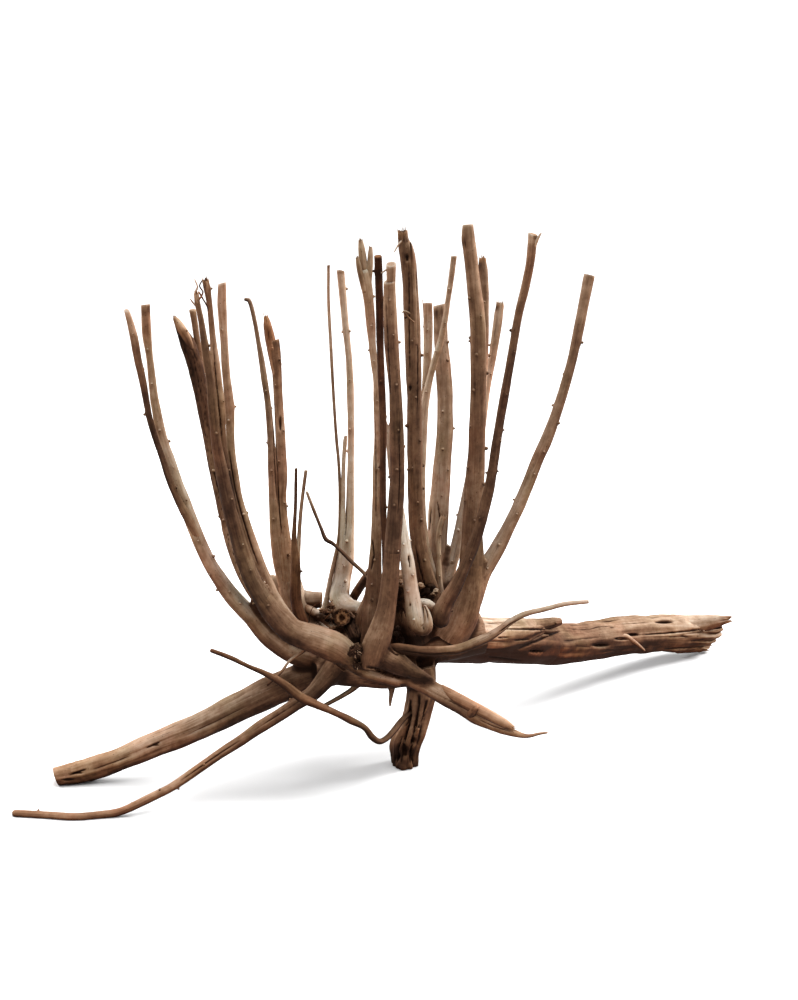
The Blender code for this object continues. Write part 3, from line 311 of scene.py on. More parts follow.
        (-143.5, 91.5, -83, 5.6), (-155.5, 96.5, -86, 4.5), (-175.5, 106, -91, 4.8),
        (-195.5, 113.5, -96, 4.4)
    ]),
    "rootlet_left": ([(0.17, 0.66, 0.06), (0.8, -0.08, 0.83)], "point", [
        (-94.5, 120, -46, 6), (-102.5, 112, -46, 3.6), (-115.5, 103, -50, 3), (-124.5, 91.5, -55, 3),
        (-138.5, 78, -60, 2.4)
    ]),
    "rootlet_middle": ([(0.46, 0.38, 0.3), (-0.34, -0.35, -0.35)], "point", [
        (-39.5, 88.5, -8, 10), (-51.5, 75.5, -6, 6), (-65.5, 66.5, -12, 5), (-80.5, 58.5, -20, 4),
        (-89.5, 54.5, -25, 2.4)
    ]),
    "rootlet_spike": ([(0.78, 0.34, 0.61), (-0.06, -0.35, -0.35)], "point", [
        (-14.5, 89.5, -14, 11), (-14, 77.5, -16, 8.5), (-14, 71.5, -18, 5.4), (-15, 64.5, -19, 4),
        (-15.5, 57, -20, 2)
    ]),
    "crown_belly": ([(0.43, 0.45, 0.4), (1.0, 1.0, 0.89)], "worn", [
        (-85.5, 95.5, -4, 30), (-55.5, 94.5, -12, 35), (-17.5, 93.5, -10, 38), (6.5, 91.5, 0, 30)
    ]),
    "crown_heart": ([(0.04, 0.5, 0.5), (1.0, -0.35, -0.35)], "worn", [
        (9.5, 121.5, 6, 40), (-0.5, 149.5, 4, 32), (-4.5, 169.5, 2, 24), (-6.5, 193.5, 0, 14)
    ]),
    "middle_front_top": ([(0.64, 0.64, 0.64), (-0.35, -0.35, -0.35)], "sawn", [
        (-14.5, 471.5, -74, 9), (-14.5, 499.5, -78, 9.8)
    ]),
    "forked_prong_left": ([(0.71, 0.71, 0.71), (-0.35, -0.35, -0.35)], "torn", [
        (-40.5, 481.5, -13.5, 9), (-42.5, 503.5, -14, 8.4), (-45, 523.5, -15, 5.6)
    ]),
    "forked_prong_right": ([(0.71, 0.71, 0.71), (-0.35, -0.35, -0.35)], "torn", [
        (-37.5, 479.5, -14.5, 7.4), (-35.5, 499.5, -14.5, 6.4), (-35, 516.5, -16, 4.6)
    ]),
    "forked_sliver": ([(0.78, 0.54, 0.67), (-0.35, -0.35, -0.35)], "torn", [
        (-40.5, 471.5, -17, 6), (-45.5, 491.5, -18.5, 6), (-48.5, 506, -20, 4)
    ]),
    "log_lip_upper": ([(0.59, 0.59, 0.59), (-0.35, -0.35, -0.35)], "torn", [
        (270.5, 136.5, 276, 24), (294.5, 139.5, 280, 18), (312.5, 142.5, 277, 12.5),
        (324.5, 144.5, 273, 8.5)
    ]),
    "log_lip_lower": ([(0.55, 0.55, 0.55), (-0.35, -0.35, -0.35)], "torn", [
        (272.5, 120, 279, 20), (290.5, 117, 288, 12), (302.5, 115.5, 293, 7.5)
    ]),
    "crown_shoulder": ([(0.5, 0.5, 0.5), (-0.13, 0.06, 0.06)], "worn", [
        (-109.5, 117.5, 26, 26), (-83.5, 135.5, 40, 38), (-53.5, 141.5, 42, 38), (-20.5, 137.5, 34, 40),
        (14.5, 133.5, 28, 40)
    ]),
    "heel_fan": ([(0.5, 0.42, 0.04), (1.0, 1.0, 1.0)], "point", [
        (-35.5, 121.5, -50, 18), (-23.5, 110.5, -57, 24), (-12.5, 102.5, -60, 25), (-0.5, 96, -62, 19),
        (10.5, 90.5, -63, 13.5), (21.5, 86, -65, 8), (29.5, 83, -65, 3)
    ]),
    "plank_end": ([(0.35, 0.35, 0.35), (-0.35, -0.35, -0.35)], "worn", [
        (106.5, 133.5, 98, 22), (122.5, 136, 112, 18), (135.5, 138.5, 124, 14), (147.5, 141, 134, 11),
        (156, 142.5, 141, 7)
    ]),
    "plank_tooth_1": ([(0.35, 0.35, 0.35), (-0.35, -0.35, -0.35)], "point", [
        (102.5, 120.5, 88, 9), (113.5, 118.5, 96, 5.5), (122.5, 118, 103, 1.5)
    ]),
    "plank_tooth_2": ([(0.35, 0.35, 0.35), (-0.35, -0.35, -0.35)], "point", [
        (112.5, 123.5, 97, 9), (124.5, 122.5, 106, 5.5), (133.5, 123, 114, 1.5)
    ]),
    "plank_tooth_3": ([(0.35, 0.35, 0.35), (-0.35, -0.35, -0.35)], "point", [
        (124.5, 128.5, 108, 8), (135.5, 127.5, 116, 5), (143.5, 128, 123, 1.5)
    ]),
    "plank_tooth_4": ([(0.35, 0.35, 0.35), (-0.35, -0.35, -0.35)], "point", [
        (134.5, 133.5, 118, 7), (143.5, 132, 125, 4.5), (151.5, 132.5, 131, 1.5)
    ]),
    "heel_lip": ([(0.47, 0.47, 0.47), (-0.35, -0.35, -0.35)], "point", [
        (-31.5, 113.5, -62, 12), (-38.5, 118.5, -65, 8), (-44.5, 122.5, -66, 2.4)
    ]),
    "inner_arm": ([(0.04, 0.38, 0.49), (0.58, 0.01, -0.35)], "worn", [
        (-39.5, 121.5, -22, 14), (-45, 135.5, -12, 12), (-44.5, 147.5, -8, 11), (-40.5, 159.5, -6, 9),
        (-36.5, 171.5, -4, 7)
    ]),
    "pale_arch": ([(0.81, 0.9, 0.92), (0.06, 0.01, -0.05)], "worn", [
        (6.5, 157.5, -10, 8), (15.5, 161, -16, 8), (22.5, 160, -19, 8.4), (28.5, 155.5, -19, 8),
        (32.5, 149.5, -17, 7)
    ]),
    "middle_splinter": ([(0.56, 0.71, 0.43), (-0.35, -0.35, -0.3)], "point", [
        (10.5, 418.5, -8, 3.4), (10, 443.5, -10.5, 3.6), (9, 473.5, -12.5, 3.6), (7, 501.5, -14, 3.2),
        (5, 521.5, -15.5, 1.8)
    ]),
    "hair_1": ([(0.22, 0.22, 0.22), (1.2, 1.2, 1.2)], "point", [
        (-83.5, 161.5, -4, 0.9), (-91.5, 157.5, -8, 0.8), (-95.5, 149.5, -12, 0.7),
        (-96.5, 139.5, -14, 0.6)
    ]),
    "hair_2": ([(0.34, 0.34, 0.34), (-0.35, -0.35, -0.35)], "point", [
        (-72.5, 163.5, -4, 0.9), (-81.5, 153.5, -10, 0.8), (-85.5, 144.5, -12, 0.7),
        (-90.5, 138.5, -14, 0.5)
    ]),
    "hair_3": ([(0.34, 0.34, 0.34), (1.0, 0.77, 0.7)], "point", [
        (-69.5, 156.5, -8, 0.8), (-77.5, 147.5, -12, 0.8), (-83.5, 141.5, -16, 0.7),
        (-89.5, 132.5, -24, 0.5)
    ]),
    "hair_4": ([(0.34, 0.34, 0.34), (-0.08, 0.28, 0.47)], "point", [
        (-78.5, 165.5, 0, 0.8), (-74.5, 157.5, -8, 0.8), (-75.5, 147.5, -12, 0.6),
        (-71.5, 135.5, -20, 0.5)
    ]),
    "hair_5": ([(0.18, 0.17, 0.24), (1.0, 1.0, 1.0)], "point", [
        (-3.5, 175.5, -6, 1.2), (-5.5, 166.5, -10, 1), (-3.5, 157.5, -12, 0.9), (-6.5, 145.5, -14, 0.6)
    ]),
    "hair_6": ([(0.34, 0.34, 0.04), (1.0, 1.0, 0.26)], "point", [
        (-9.5, 123.5, -20, 1.2), (-6.5, 131.5, -24, 1), (-2.5, 125.5, -26, 0.8), (-1.5, 118.5, -28, 0.6)
    ]),
    "tip_fibre_1": ([(0.78, 0.78, 0.78), (-0.1, -0.1, -0.1)], "point", [
        (-0.5, 525.5, -10, 2.6), (-6.5, 519.5, -13, 2), (-11.5, 511, -15, 1.2)
    ]),
    "tip_fibre_2": ([(0.78, 0.78, 0.78), (-0.35, -0.35, -0.35)], "point", [
        (128, 515.5, -71, 4), (132, 524.5, -73.5, 3), (136, 531, -75, 1.4)
    ]),
    "tip_fibre_3": ([(0.78, 0.78, 0.78), (-0.1, -0.1, -0.1)], "point", [
        (18.5, 445.5, 43, 1.6), (18, 455.5, 44.5, 1.4), (17, 464.5, 46, 0.8)
    ]),
    "tip_fibre_4": ([(0.57, 0.57, 0.57), (1.08, 1.08, 1.08)], "point", [
        (-128.5, 383.5, 45, 2), (-125.5, 391.5, 47, 1.6), (-124, 400.5, 49, 0.8)
    ]),
    "torn_left_peel": ([(0.36, 0.67, 0.43), (-0.35, 0.36, 0.09)], "point", [
        (-213.5, 413.5, -15, 5), (-218.5, 425.5, -17, 8), (-224.5, 435.5, -17.5, 9),
        (-229, 443, -16.5, 6.5), (-232, 447, -16, 3)
    ]),
    "left_back_point": ([(0.62, 0.49, 0.33), (0.5, 0.9, 1.2)], "torn", [
        (-130, 387.5, 45, 5), (-133, 407.5, 51, 8), (-135, 421.5, 54.5, 10), (-137, 433.5, 57, 9.6),
        (-138.5, 441.5, 59, 8), (-140, 447.5, 60, 6)
    ]),
    "root_layer": ([(0.5, 0.5, 0.5), (0.63, 0.63, 0.63)], "torn", [
        (34.5, 73.5, -66, 12), (49.5, 66.5, -76, 12), (64.5, 58.5, -85, 12), (79.5, 50.5, -93, 11),
        (92.5, 43.5, -99, 9.6), (102.5, 38, -103, 8.4), (108.5, 34.5, -105, 7)
    ]),
    "root_scar": ([(0.5, 0.5, 0.5), (0.63, 0.63, 0.63)], "worn", [
        (65.5, 49.5, -86, 9), (69, 53.5, -93, 8), (71, 57, -98, 5.5)
    ]),
    "tip_hair_7": ([(0.58, 0.58, 0.58), (-0.35, -0.35, -0.35)], "point", [
        (-17.5, 495, -80, 1.8), (-21, 492.5, -81, 1.7), (-24.5, 490, -82, 1.2)
    ]),
    "tip_hair_1": ([(0.78, 0.78, 0.78), (-0.13, -0.18, -0.18)], "point", [
        (-207.5, 459.5, -91, 2), (-211, 469.5, -94, 1.9), (-208, 476.5, -95, 1.8),
        (-211, 484.5, -96, 1.3)
    ]),
    "tip_hair_2": ([(0.78, 0.39, 0.04), (1.2, 1.2, 1.2)], "point", [
        (-206.5, 463.5, -90, 2), (-202.5, 471.5, -93, 1.8), (-206, 477.5, -95, 1.7),
        (-203, 483.5, -96, 1.2)
    ]),
    "tip_hair_3": ([(0.68, 0.68, 0.68), (0.0, 0.0, 0.0)], "point", [
        (-209.5, 457.5, -90, 1.9), (-213, 461.5, -92, 1.7), (-215.5, 465, -93, 1.2)
    ]),
    "tip_hair_4": ([(0.49, 0.37, 0.04), (0.57, 0.62, 1.06)], "point", [
        (-206.5, 471.5, -90, 1.9), (-202.5, 464.5, -88, 1.7), (-198.5, 457.5, -84, 1.6),
        (-197.5, 452.5, -82, 1.2)
    ]),
    "tip_hair_5": ([(0.2, 0.5, 0.78), (0.38, -0.08, -0.35)], "point", [
        (-0.5, 445.5, -11, 2.2), (4.5, 449.5, -14.5, 2), (-1.5, 452.5, -15.5, 1.6),
        (-3.5, 450.5, -15, 1.2)
    ]),
    "tip_hair_6": ([(0.33, 0.55, 0.57), (0.52, 0.57, 0.46)], "point", [
        (-1.5, 451.5, -13, 2), (3.5, 445.5, -15, 2), (9, 441, -14, 1.2)
    ]),
    "lower_arm": ([(0.04, 0.78, 0.78), (0.58, -0.09, -0.35)], "worn", [
        (-109.5, 159.5, 10, 11), (-93.5, 152, 4, 10.5), (-80.5, 144.5, 0, 10), (-69.5, 136.5, -8, 9)
    ]),
}

# Cracks that open on the side that the drawing shows: width, depth and the line they follow
CRACKS = {
    "outer_left": [
        (0.9, 1.4, [(-248.5, 323.5), (-242.5, 305.5), (-234.5, 283.5), (-225.5, 258.5)]),
    ],
    "front_left": [
        (1.4, 2.4, [
            (-181.5, 335.5), (-178.5, 313.5), (-175.5, 293.5), (-172, 273.5), (-167, 253.5),
            (-160.5, 233.5), (-154, 213.5), (-146.5, 193.5), (-140.5, 180.5)
        ]),
    ],
    "front_left_third": [
        (1.6, 1.8, [
            (-176.5, 313.5), (-174, 293.5), (-170.5, 273.5), (-165.5, 253.5), (-159.5, 233.5),
            (-153, 213.5), (-146, 195.5)
        ]),
    ],
    "front_left_second": [
        (0.9, 1.5, [(-192.5, 418.5), (-189.5, 383.5), (-186.5, 353.5), (-182.5, 318.5)]),
    ],
    "left_back": [
        (1.2, 2.4, [(-125, 346.5), (-125, 332.5)]),
        (1.3, 2.2, [(-132, 363.5), (-130.5, 323.5), (-129, 283.5), (-126.5, 253.5), (-124, 228.5)]),
    ],
    "left_back_hook": [
        (1.2, 1.6, [(-132, 343.5), (-131, 313.5), (-129.5, 283.5), (-127.5, 258.5)]),
    ],
    "bleached": [
        (0.8, 1.4, [(-59.5, 285.5), (-59.5, 253.5), (-60, 223.5)]),
    ],
    "forked": [
        (1.2, 2.0, [(-33.5, 223.5), (-31.5, 208.5), (-34.5, 193.5)]),
        (1.0, 1.2, [(-30.5, 343.5), (-29.5, 293.5), (-29.5, 243.5)]),
    ],
    "middle_front": [
        (1.0, 1.0, [(-19.5, 463.5), (-17.5, 413.5), (-14.5, 363.5)]),
        (1.0, 1.0, [(-6.5, 343.5), (-5.5, 293.5), (-7.5, 243.5)]),
    ],
    "dark_middle": [
        (0.8, 1.2, [(11.5, 513.5), (11.5, 463.5), (12.5, 413.5), (11.5, 343.5)]),
        (1.0, 1.2, [(3.5, 503.5), (3.5, 433.5), (4.5, 383.5)]),
        (1.2, 1.4, [(9.5, 218.5), (14.5, 193.5), (20.5, 173.5)]),
    ],
    "log": [
        (1.1, 1.8, [(234.5, 128.5), (259.5, 130), (284.5, 132.5), (306.5, 136.5), (320.5, 138.5)]),
        (1.8, 3.0, [(294.5, 132.5), (306.5, 135.5), (322.5, 137.5)]),
        (1.1, 0.5, [(234.5, 126), (264.5, 126.5), (299.5, 127.5)]),
        (1.4, 2.4, [(258.5, 114), (279.5, 115), (305.5, 116.5)]),
        (1.6, 2.2, [(82.5, 106.5), (94.5, 105), (116.5, 102.5)]),
        (1.1, 0.5, [(154.5, 122.5), (184.5, 125.5), (206.5, 127)]),
        (1.0, 0.4, [(169.5, 117.5), (194.5, 115.5), (234.5, 117.5)]),
        (1.0, 0.4, [(94.5, 111.5), (124.5, 108.5)]),
        (1.1, 0.6, [(284.5, 122.5), (308.5, 125.5)]),
        (1.0, 0.4, [(169.5, 134.5), (214.5, 139.5), (249.5, 141.5)]),
        (1.1, 0.7, [(300.5, 144.5), (324.5, 144.5)]),
        (1.0, 0.4, [(194.5, 108.5), (244.5, 113.5)]),
        (1.8, 2.4, [(112.5, 114.5), (129.5, 121.5), (142.5, 128.5), (154.5, 132.5)]),
    ],
    "log_plank": [
        (1.4, 2.0, [(94.5, 135), (119.5, 134.5), (140.5, 133.5)]),
        (1.0, 0.5, [(64.5, 141.5), (94.5, 141), (124.5, 140.5)]),
        (0.9, 1.2, [(89.5, 125.5), (103.5, 126)]),
        (0.9, 1.4, [(108.5, 123), (124.5, 124)]),
        (1.2, 2.0, [(140.5, 141.5), (150.5, 138.5)]),
    ],
    "foot": [
        (2.6, 5.0, [(4.5, 63.5), (3.5, 43.5), (-2.5, 18.5), (-4.5, -2.5)]),
        (2.4, 4.6, [(13.5, 68.5), (11.5, 48.5), (7.5, 23.5), (5.5, -2.5)]),
        (2.0, 3.6, [(21.5, 63.5), (17.5, 41.5), (12.5, 18.5)]),
        (1.8, 3.4, [(-3.5, 28.5), (-8.5, 13.5), (-9.5, -1.5)]),
    ],
    "thick_left_root": [
        (1.4, 2.0, [(-335.5, -11.5), (-327.5, -8.5), (-319.5, -5.5)]),
        (1.2, 1.2, [(-259.5, 15.5), (-251.5, 18.5), (-245.5, 21.5)]),
        (1.1, 0.5, [(-225.5, 25.5), (-190.5, 41.5), (-155.5, 59.5)]),
        (1.1, 0.7, [(-313.5, -6.5), (-293.5, 0.5), (-275.5, 7.5)]),
        (1.0, 0.4, [(-165.5, 63.5), (-135.5, 75.5), (-105.5, 87.5)]),
    ],
    "thin_left_root": [
        (1.0, 1.2, [(-225.5, -17.5), (-195.5, 3.5), (-165.5, 23.5)]),
        (1.0, 1.0, [(-150.5, 33.5), (-120.5, 53.5), (-100.5, 66.5)]),
    ],
    "lower_right_root": [
        (1.0, 0.4, [(6.5, 81.5), (34.5, 67.5), (64.5, 52.5)]),
        (1.1, 0.9, [(72.5, 44.5), (88.5, 37), (106.5, 32)]),
    ],
    "whip_root": [
        (1.0, 1.2, [(-4.5, 112.5), (24.5, 108.5), (50.5, 110.5)]),
        (1.0, 1.4, [(94.5, 131.5), (102.5, 137.5), (110.5, 142.5)]),
    ],
    "whitish": [
        (1.2, 1.8, [(3.5, 207.5), (4, 201.5), (4.5, 195.5)]),
        (1.2, 1.6, [(18.5, 157.5), (21.5, 150.5), (22.5, 143.5)]),
    ],
    "tallest": [
        (1.1, 0.7, [(58.5, 525.5), (59.5, 520.5), (60.5, 515.5)]),
    ],
    "right_front": [
        (1.0, 1.2, [(104.5, 433.5), (99.5, 403.5), (94.5, 368.5)]),
    ],
    "broad_back": [
        (1.0, 1.6, [(25.5, 255.5), (24.5, 243.5), (23.5, 231.5)]),
        (1.2, 1.4, [(31.5, 263.5), (34.5, 245.5), (34.5, 223.5)]),
    ],
    "crown": [
        (1.6, 2.4, [(-39.5, 96), (-31.5, 95), (-20.5, 91), (-8.5, 86.5), (5.5, 85)]),
        (1.2, 1.4, [(-17.5, 115.5), (-10.5, 109.5), (-6.5, 108.5)]),
    ],
}

# Holes and hollows there, darkened with painted shade: half width, half height, depth and the middle of each
HOLLOWS = {
    "log": [(7, 1.7, 5, (195.5, 118)), (8, 1.5, 4.5, (258.5, 142)), (6.5, 1.3, 4.5, (131, 112)),
        (5, 1.3, 4, (227.5, 128.5)), (6, 1.2, 4, (216.5, 124.5)), (9, 1.5, 3, (310.5, 136.5))],
    "left_back": [(1.8, 5, 4, (-125, 339.5))],
    "foot": [(2.6, 3, 5, (8.5, 21.5)), (3, 5, 6, (-0.5, 11.5)), (2.4, 4, 5, (-8.5, 6.5)),
        (2, 6, 4, (6.5, 7.5)), (1.6, 5, 4, (3.5, 48.5))],
    "thick_left_root": [(4, 0.9, 2, (-327.5, -9.5)), (4.5, 1.2, 2.4, (-337.5, -16.5)),
        (3, 0.9, 1.2, (-249.5, 18.5))],
    "dark_middle": [(1.6, 3, 2.5, (1.5, 505.5)), (1.4, 2.4, 2, (4.5, 375.5))],
    "whitish": [(1.3, 2.6, 2.2, (3.5, 204.5)), (1.4, 1.4, 1.2, (4.5, 159.5))],
    "outer_left": [(1.4, 2.4, 1.6, (-268.5, 398.5))],
}

# Patches paler, darker or warmer, stains of the wood as well as painted shade and painted light: half width,
# half height, change of tone, change of warmth, and middle
STAINS_AND_PAINTED_LIGHT = {
    "outer_left_twin": [(9, 14, 0.1, 0, (-208.5, 228.5))],
    "outer_left": [(9, 16, -0.16, 0, (-204.5, 217.5)), (14, 12, 0.1, 0, (-167.5, 159.5)),
        (7, 2.4, -0.14, 0, (-261.5, 450.5)), (2.4, 4, -0.22, 0, (-256.5, 455.5)),
        (3, 9, -0.1, 0, (-258.5, 435.5))],
    "torn_left": [(5, 9, -0.2, 0, (-228.5, 425.5)), (10, 16, -0.12, 0, (-221.5, 437.5))],
    "torn_left_peel": [(4, 6, 0.12, 0, (-226.5, 438.5))],
    "front_left_second": [(2.5, 6, -0.15, 0, (-201.5, 480.5)), (1.6, 8, 0.15, 0, (-198.5, 476.5))],
    "front_left": [(4, 7, 0.22, 0, (-209.5, 470.5)), (16, 12, -0.1, 0, (-119.5, 149.5)),
        (12, 8, 0.08, 0, (-71.5, 123.5)), (16, 9, -0.1, 0, (-115.5, 122.5))],
    "front_left_third": [(3, 3, 0.25, 0, (-187.5, 479.5)), (2, 6, -0.18, 0, (-188.5, 471.5))],
    "left_back_point": [(4, 6, -0.1, 0, (-136.5, 429.5)), (3, 4, 0.15, 0, (-140.5, 444.5))],
    "left_back": [(4, 5, -0.2, 0, (-128.5, 418.5))],
    "bleached_wand": [(3, 2.5, -0.25, 0, (-77.5, 498.5))],
    "bleached": [(4, 2.5, -0.3, 0, (-62.5, 492.5)), (18, 15, -0.26, 0, (-58.5, 161.5))],
    "middle_front": [(6, 3, 0.1, 0, (-18.5, 482.5)), (9, 18, -0.1, 0, (-20.5, 151.5)),
        (9, 9, 0.14, 0, (-24.5, 105.5))],
    "dark_middle": [(1.6, 16, -0.12, 0, (-1.5, 513.5)), (1.5, 12, 0.18, 0, (5.5, 508.5)),
        (6, 2.2, -0.12, 0, (-3.5, 532.5))],
    "broad_back": [(7, 3, 0.14, 0, (32.5, 457.5)), (2, 6, -0.25, 0, (30.5, 449.5)),
        (1.4, 5, -0.2, 0, (36.5, 451.5))],
    "middle_back": [(2, 5, -0.15, 0, (24.5, 455.5))],
    "pale_back": [(4, 8, -0.25, 0, (72.5, 499.5)), (2.5, 3, 0.1, 0, (71.5, 506.5))],
    "right_back": [(2.6, 3.4, -0.4, 0, (90.5, 456.5)), (3, 2.5, 0.15, 0, (94.5, 460.5))],
    "whip_root": [(32, 8, -0.14, 0, (12.5, 112.5))],
    "tallest": [(13, 18, -0.1, 0, (62.5, 185.5)), (12, 14, 0.16, 0, (50.5, 138.5)),
        (2.2, 3.6, -0.2, 0, (56.5, 520.5)), (10, 11, -0.14, 0, (64.5, 530.5))],
    "right_front": [(4, 5, 0.2, 0, (125.5, 524.5)), (2.5, 2.5, -0.2, 0, (130.5, 527.5))],
    "whitish": [(12, 8, -0.18, 0, (18.5, 132.5))],
    "heel_fan": [(12, 6, 0.2, 0, (3.5, 83.5)), (18, 9, -0.2, 0, (-1.5, 101.5)),
        (10, 8, 0.14, 0, (31.5, 99.5))],
    "thick_left_root": [(26, 8, -0.16, 0, (-129.5, 81.5))],
    "log": [(6, 1.6, -0.35, 0, (56.5, 123.5)), (10, 6, -0.1, 0, (49.5, 112.5)),
        (34, 6, 0.14, 0, (174.5, 111.5)), (64, 10, 0.12, 1.4, (106.5, 109.5)),
        (10, 10, 0.12, 0, (52.5, 141.5))],
    "foot": [(10, 10, -0.12, 0, (-5.5, 7.5))],
}

# Bud knobs that the drawing shows
KNOBS = {
    "broad_back": [(37.5, 352.5), (37.5, 314.5), (42.5, 294.5), (36.5, 267.5), (41.5, 403.5),
        (41.5, 421.5)],
    "outer_right": [(152.5, 341.5), (138.5, 312.5), (128.5, 289.5), (110.5, 249.5), (93.5, 218.5),
        (81.5, 194.5), (106.5, 263.5), (145.5, 358.5)],
    "middle_front": [(-12.5, 428.5), (-9.5, 379.5), (-7.5, 333.5), (-12.5, 176.5), (-19.5, 149.5),
        (-23.5, 127.5), (-8.5, 293.5), (-11.5, 258.5), (-7.5, 211.5), (-16.5, 463.5)],
    "front_left_third": [(-162.5, 250.5), (-169.5, 229.5), (-140.5, 180.5), (-176.5, 343.5),
        (-179.5, 283.5), (-183.5, 433.5)],
    "front_left": [(-124.5, 148.5), (-103.5, 131.5), (-189.5, 331.5), (-173.5, 263.5), (-137.5, 158.5),
        (-155.5, 193.5), (-162.5, 218.5), (-197.5, 418.5)],
    "tallest": [(64.5, 465.5), (75.5, 446.5), (71.5, 409.5), (68.5, 373.5), (82.5, 391.5), (65.5, 337.5),
        (62.5, 295.5), (77.5, 280.5), (81.5, 315.5), (60.5, 263.5), (64.5, 423.5), (68.5, 243.5)],
    "outer_left": [(-232.5, 295.5), (-219.5, 263.5), (-207.5, 222.5), (-192.5, 206.5), (-195.5, 190.5),
        (-165.5, 159.5), (-245.5, 333.5), (-253.5, 378.5), (-176.5, 171.5), (-257.5, 413.5)],
    "forked": [(-34.5, 438.5), (-31.5, 403.5), (-28.5, 363.5), (-28.5, 293.5), (-33.5, 178.5),
        (-30.5, 203.5), (-33.5, 163.5)],
    "dark_middle": [(10.5, 366.5), (6.5, 423.5), (13.5, 323.5), (7.5, 295.5), (18.5, 276.5),
        (15.5, 243.5), (2.5, 338.5), (3.5, 293.5), (12.5, 260.5), (18.5, 203.5)],
    "right_front": [(108.5, 411.5), (100.5, 368.5), (94.5, 323.5), (105.5, 433.5), (94.5, 291.5),
        (74.5, 245.5), (64.5, 203.5)],
    "bleached": [(-60.5, 183.5), (-56.5, 433.5), (-55.5, 383.5), (-55.5, 333.5), (-58.5, 223.5),
        (-61.5, 197.5)],
    "left_back": [(-122.5, 333.5), (-126.5, 301.5), (-121.5, 261.5), (-117.5, 207.5), (-126.5, 403.5),
        (-129.5, 378.5)],
    "leaning_wand": [(39.5, 441.5), (30.5, 411.5), (20.5, 371.5), (43.5, 473.5)],
    "middle_back": [(21.5, 411.5), (22.5, 433.5), (19.5, 378.5)],
    "pale_back": [(46.5, 203.5), (53.5, 233.5), (60.5, 263.5)],
    "broken_twig": [(34.5, 228.5), (34.5, 208.5), (33.5, 188.5)],
    "torn_left": [(-191.5, 293.5), (-181.5, 243.5), (-165.5, 198.5)],
    "left_back_hook": [(-133.5, 293.5), (-139.5, 373.5), (-131.5, 243.5)],
    "whitish": [(-1.5, 218.5), (6.5, 188.5), (2.5, 173.5), (8.5, 143.5)],
    "thin_left_root": [(-200.5, -0.5), (-245.5, -26.5)],
}

# Places deep among the limbs that are painted dark with shade: the middle of each, and its half sizes across,
# up and back
CAVITIES = [
    (4.5, 122.5, -18, (20, 5, 24)), (-6.5, 163.5, -6, (7, 15, 20)), (7.5, 99.5, -18, (19, 9, 24)),
    (-87.5, 142.5, -8, (19, 7, 24)), (22.5, 171.5, 2, (10, 9, 20)), (-41.5, 125.5, -18, (4, 6, 20)),
    (-3.5, 129.5, -24, (8, 8, 14)), (-75.5, 151.5, 6, (8, 9, 14)),
]

# Pebbles and scraps of bark caught there: the middle, the radius and the tone of each
PEBBLES = [
    (15.5, 178, -8, 3.4, 0.55), (30.5, 172.5, -8, 3.0, 0.7), (27.5, 169, -10, 2.4, 0.62),
    (-3.5, 181.5, -10, 3.2, 0.5), (20.5, 171.5, -6, 5.0, 0.0), (24.5, 166.5, -8, 4.2, 0.02),
    (13.5, 169.5, -4, 4.6, 0.03), (25.5, 176.5, -3, 3.6, 0.05), (19.5, 165.5, -8, 3.4, 0.04),
    (-6.5, 173.5, -8, 3.6, 0.05), (-4.5, 164.5, -8, 3.0, 0.1), (-7.5, 157.5, -8, 3.4, 0.02),
    (-74.5, 157.5, -4, 3.6, 0.34), (-77.5, 151.5, -6, 3.8, 0.3), (-71.5, 151, -8, 3.0, 0.36),
    (-78.5, 145.5, -8, 3.6, 0.26), (-72.5, 143.5, -12, 3.2, 0.3), (-83.5, 152.5, -3, 2.8, 0.3),
    (-9.5, 129.5, -26, 3.2, 0.04), (-4.5, 123.5, -28, 3.0, 0.06), (-7.5, 135.5, -22, 2.6, 0.1),
]

# Dark burrs between the front limbs: the middle and the radius of each
BURRS = [
    (-50.5, 112, -67, 7), (-48.5, 99, -66, 4.6),
]

# Limbs whose inner ends grow together into the crown, inside this oval of the drawing
FUSED = {
    "crown", "crown_belly", "crown_heart", "crown_shoulder", "outer_left", "torn_left", "front_left",
    "front_left_third", "left_back", "dark_middle", "broad_back", "pale_back", "right_back", "tallest",
    "outer_right", "log", "lower_right_root", "foot", "thick_left_root", "thin_left_root", "middle_front",
    "heel_fan", "heel_lip",
}
CROWN_MIDDLE = (-10.5, 123.5)
CROWN_HALF_SIZE = (152.0, 92.0)

# The limbs grown together: how far they swell meanwhile, how fine the skin over them is and the steps along
# them are, in millimetres, the fewest sides of one, and how often their colours are blended
CROWN_SWELL = 2.2
CROWN_VOXEL = 1.6
INNER_STEP = 3.0
FEWEST_INNER_SIDES = 24
BLEND_ROUNDS = 14

# How the crown's skin narrows into a stem where it ends, and how the stem swells out of it
CROWN_EXIT = (0.99, 0.98, 0.965, 0.94, 0.9)
STEM_ENTRY = (0.92, 0.945, 0.965, 0.98, 0.99, 1.0)

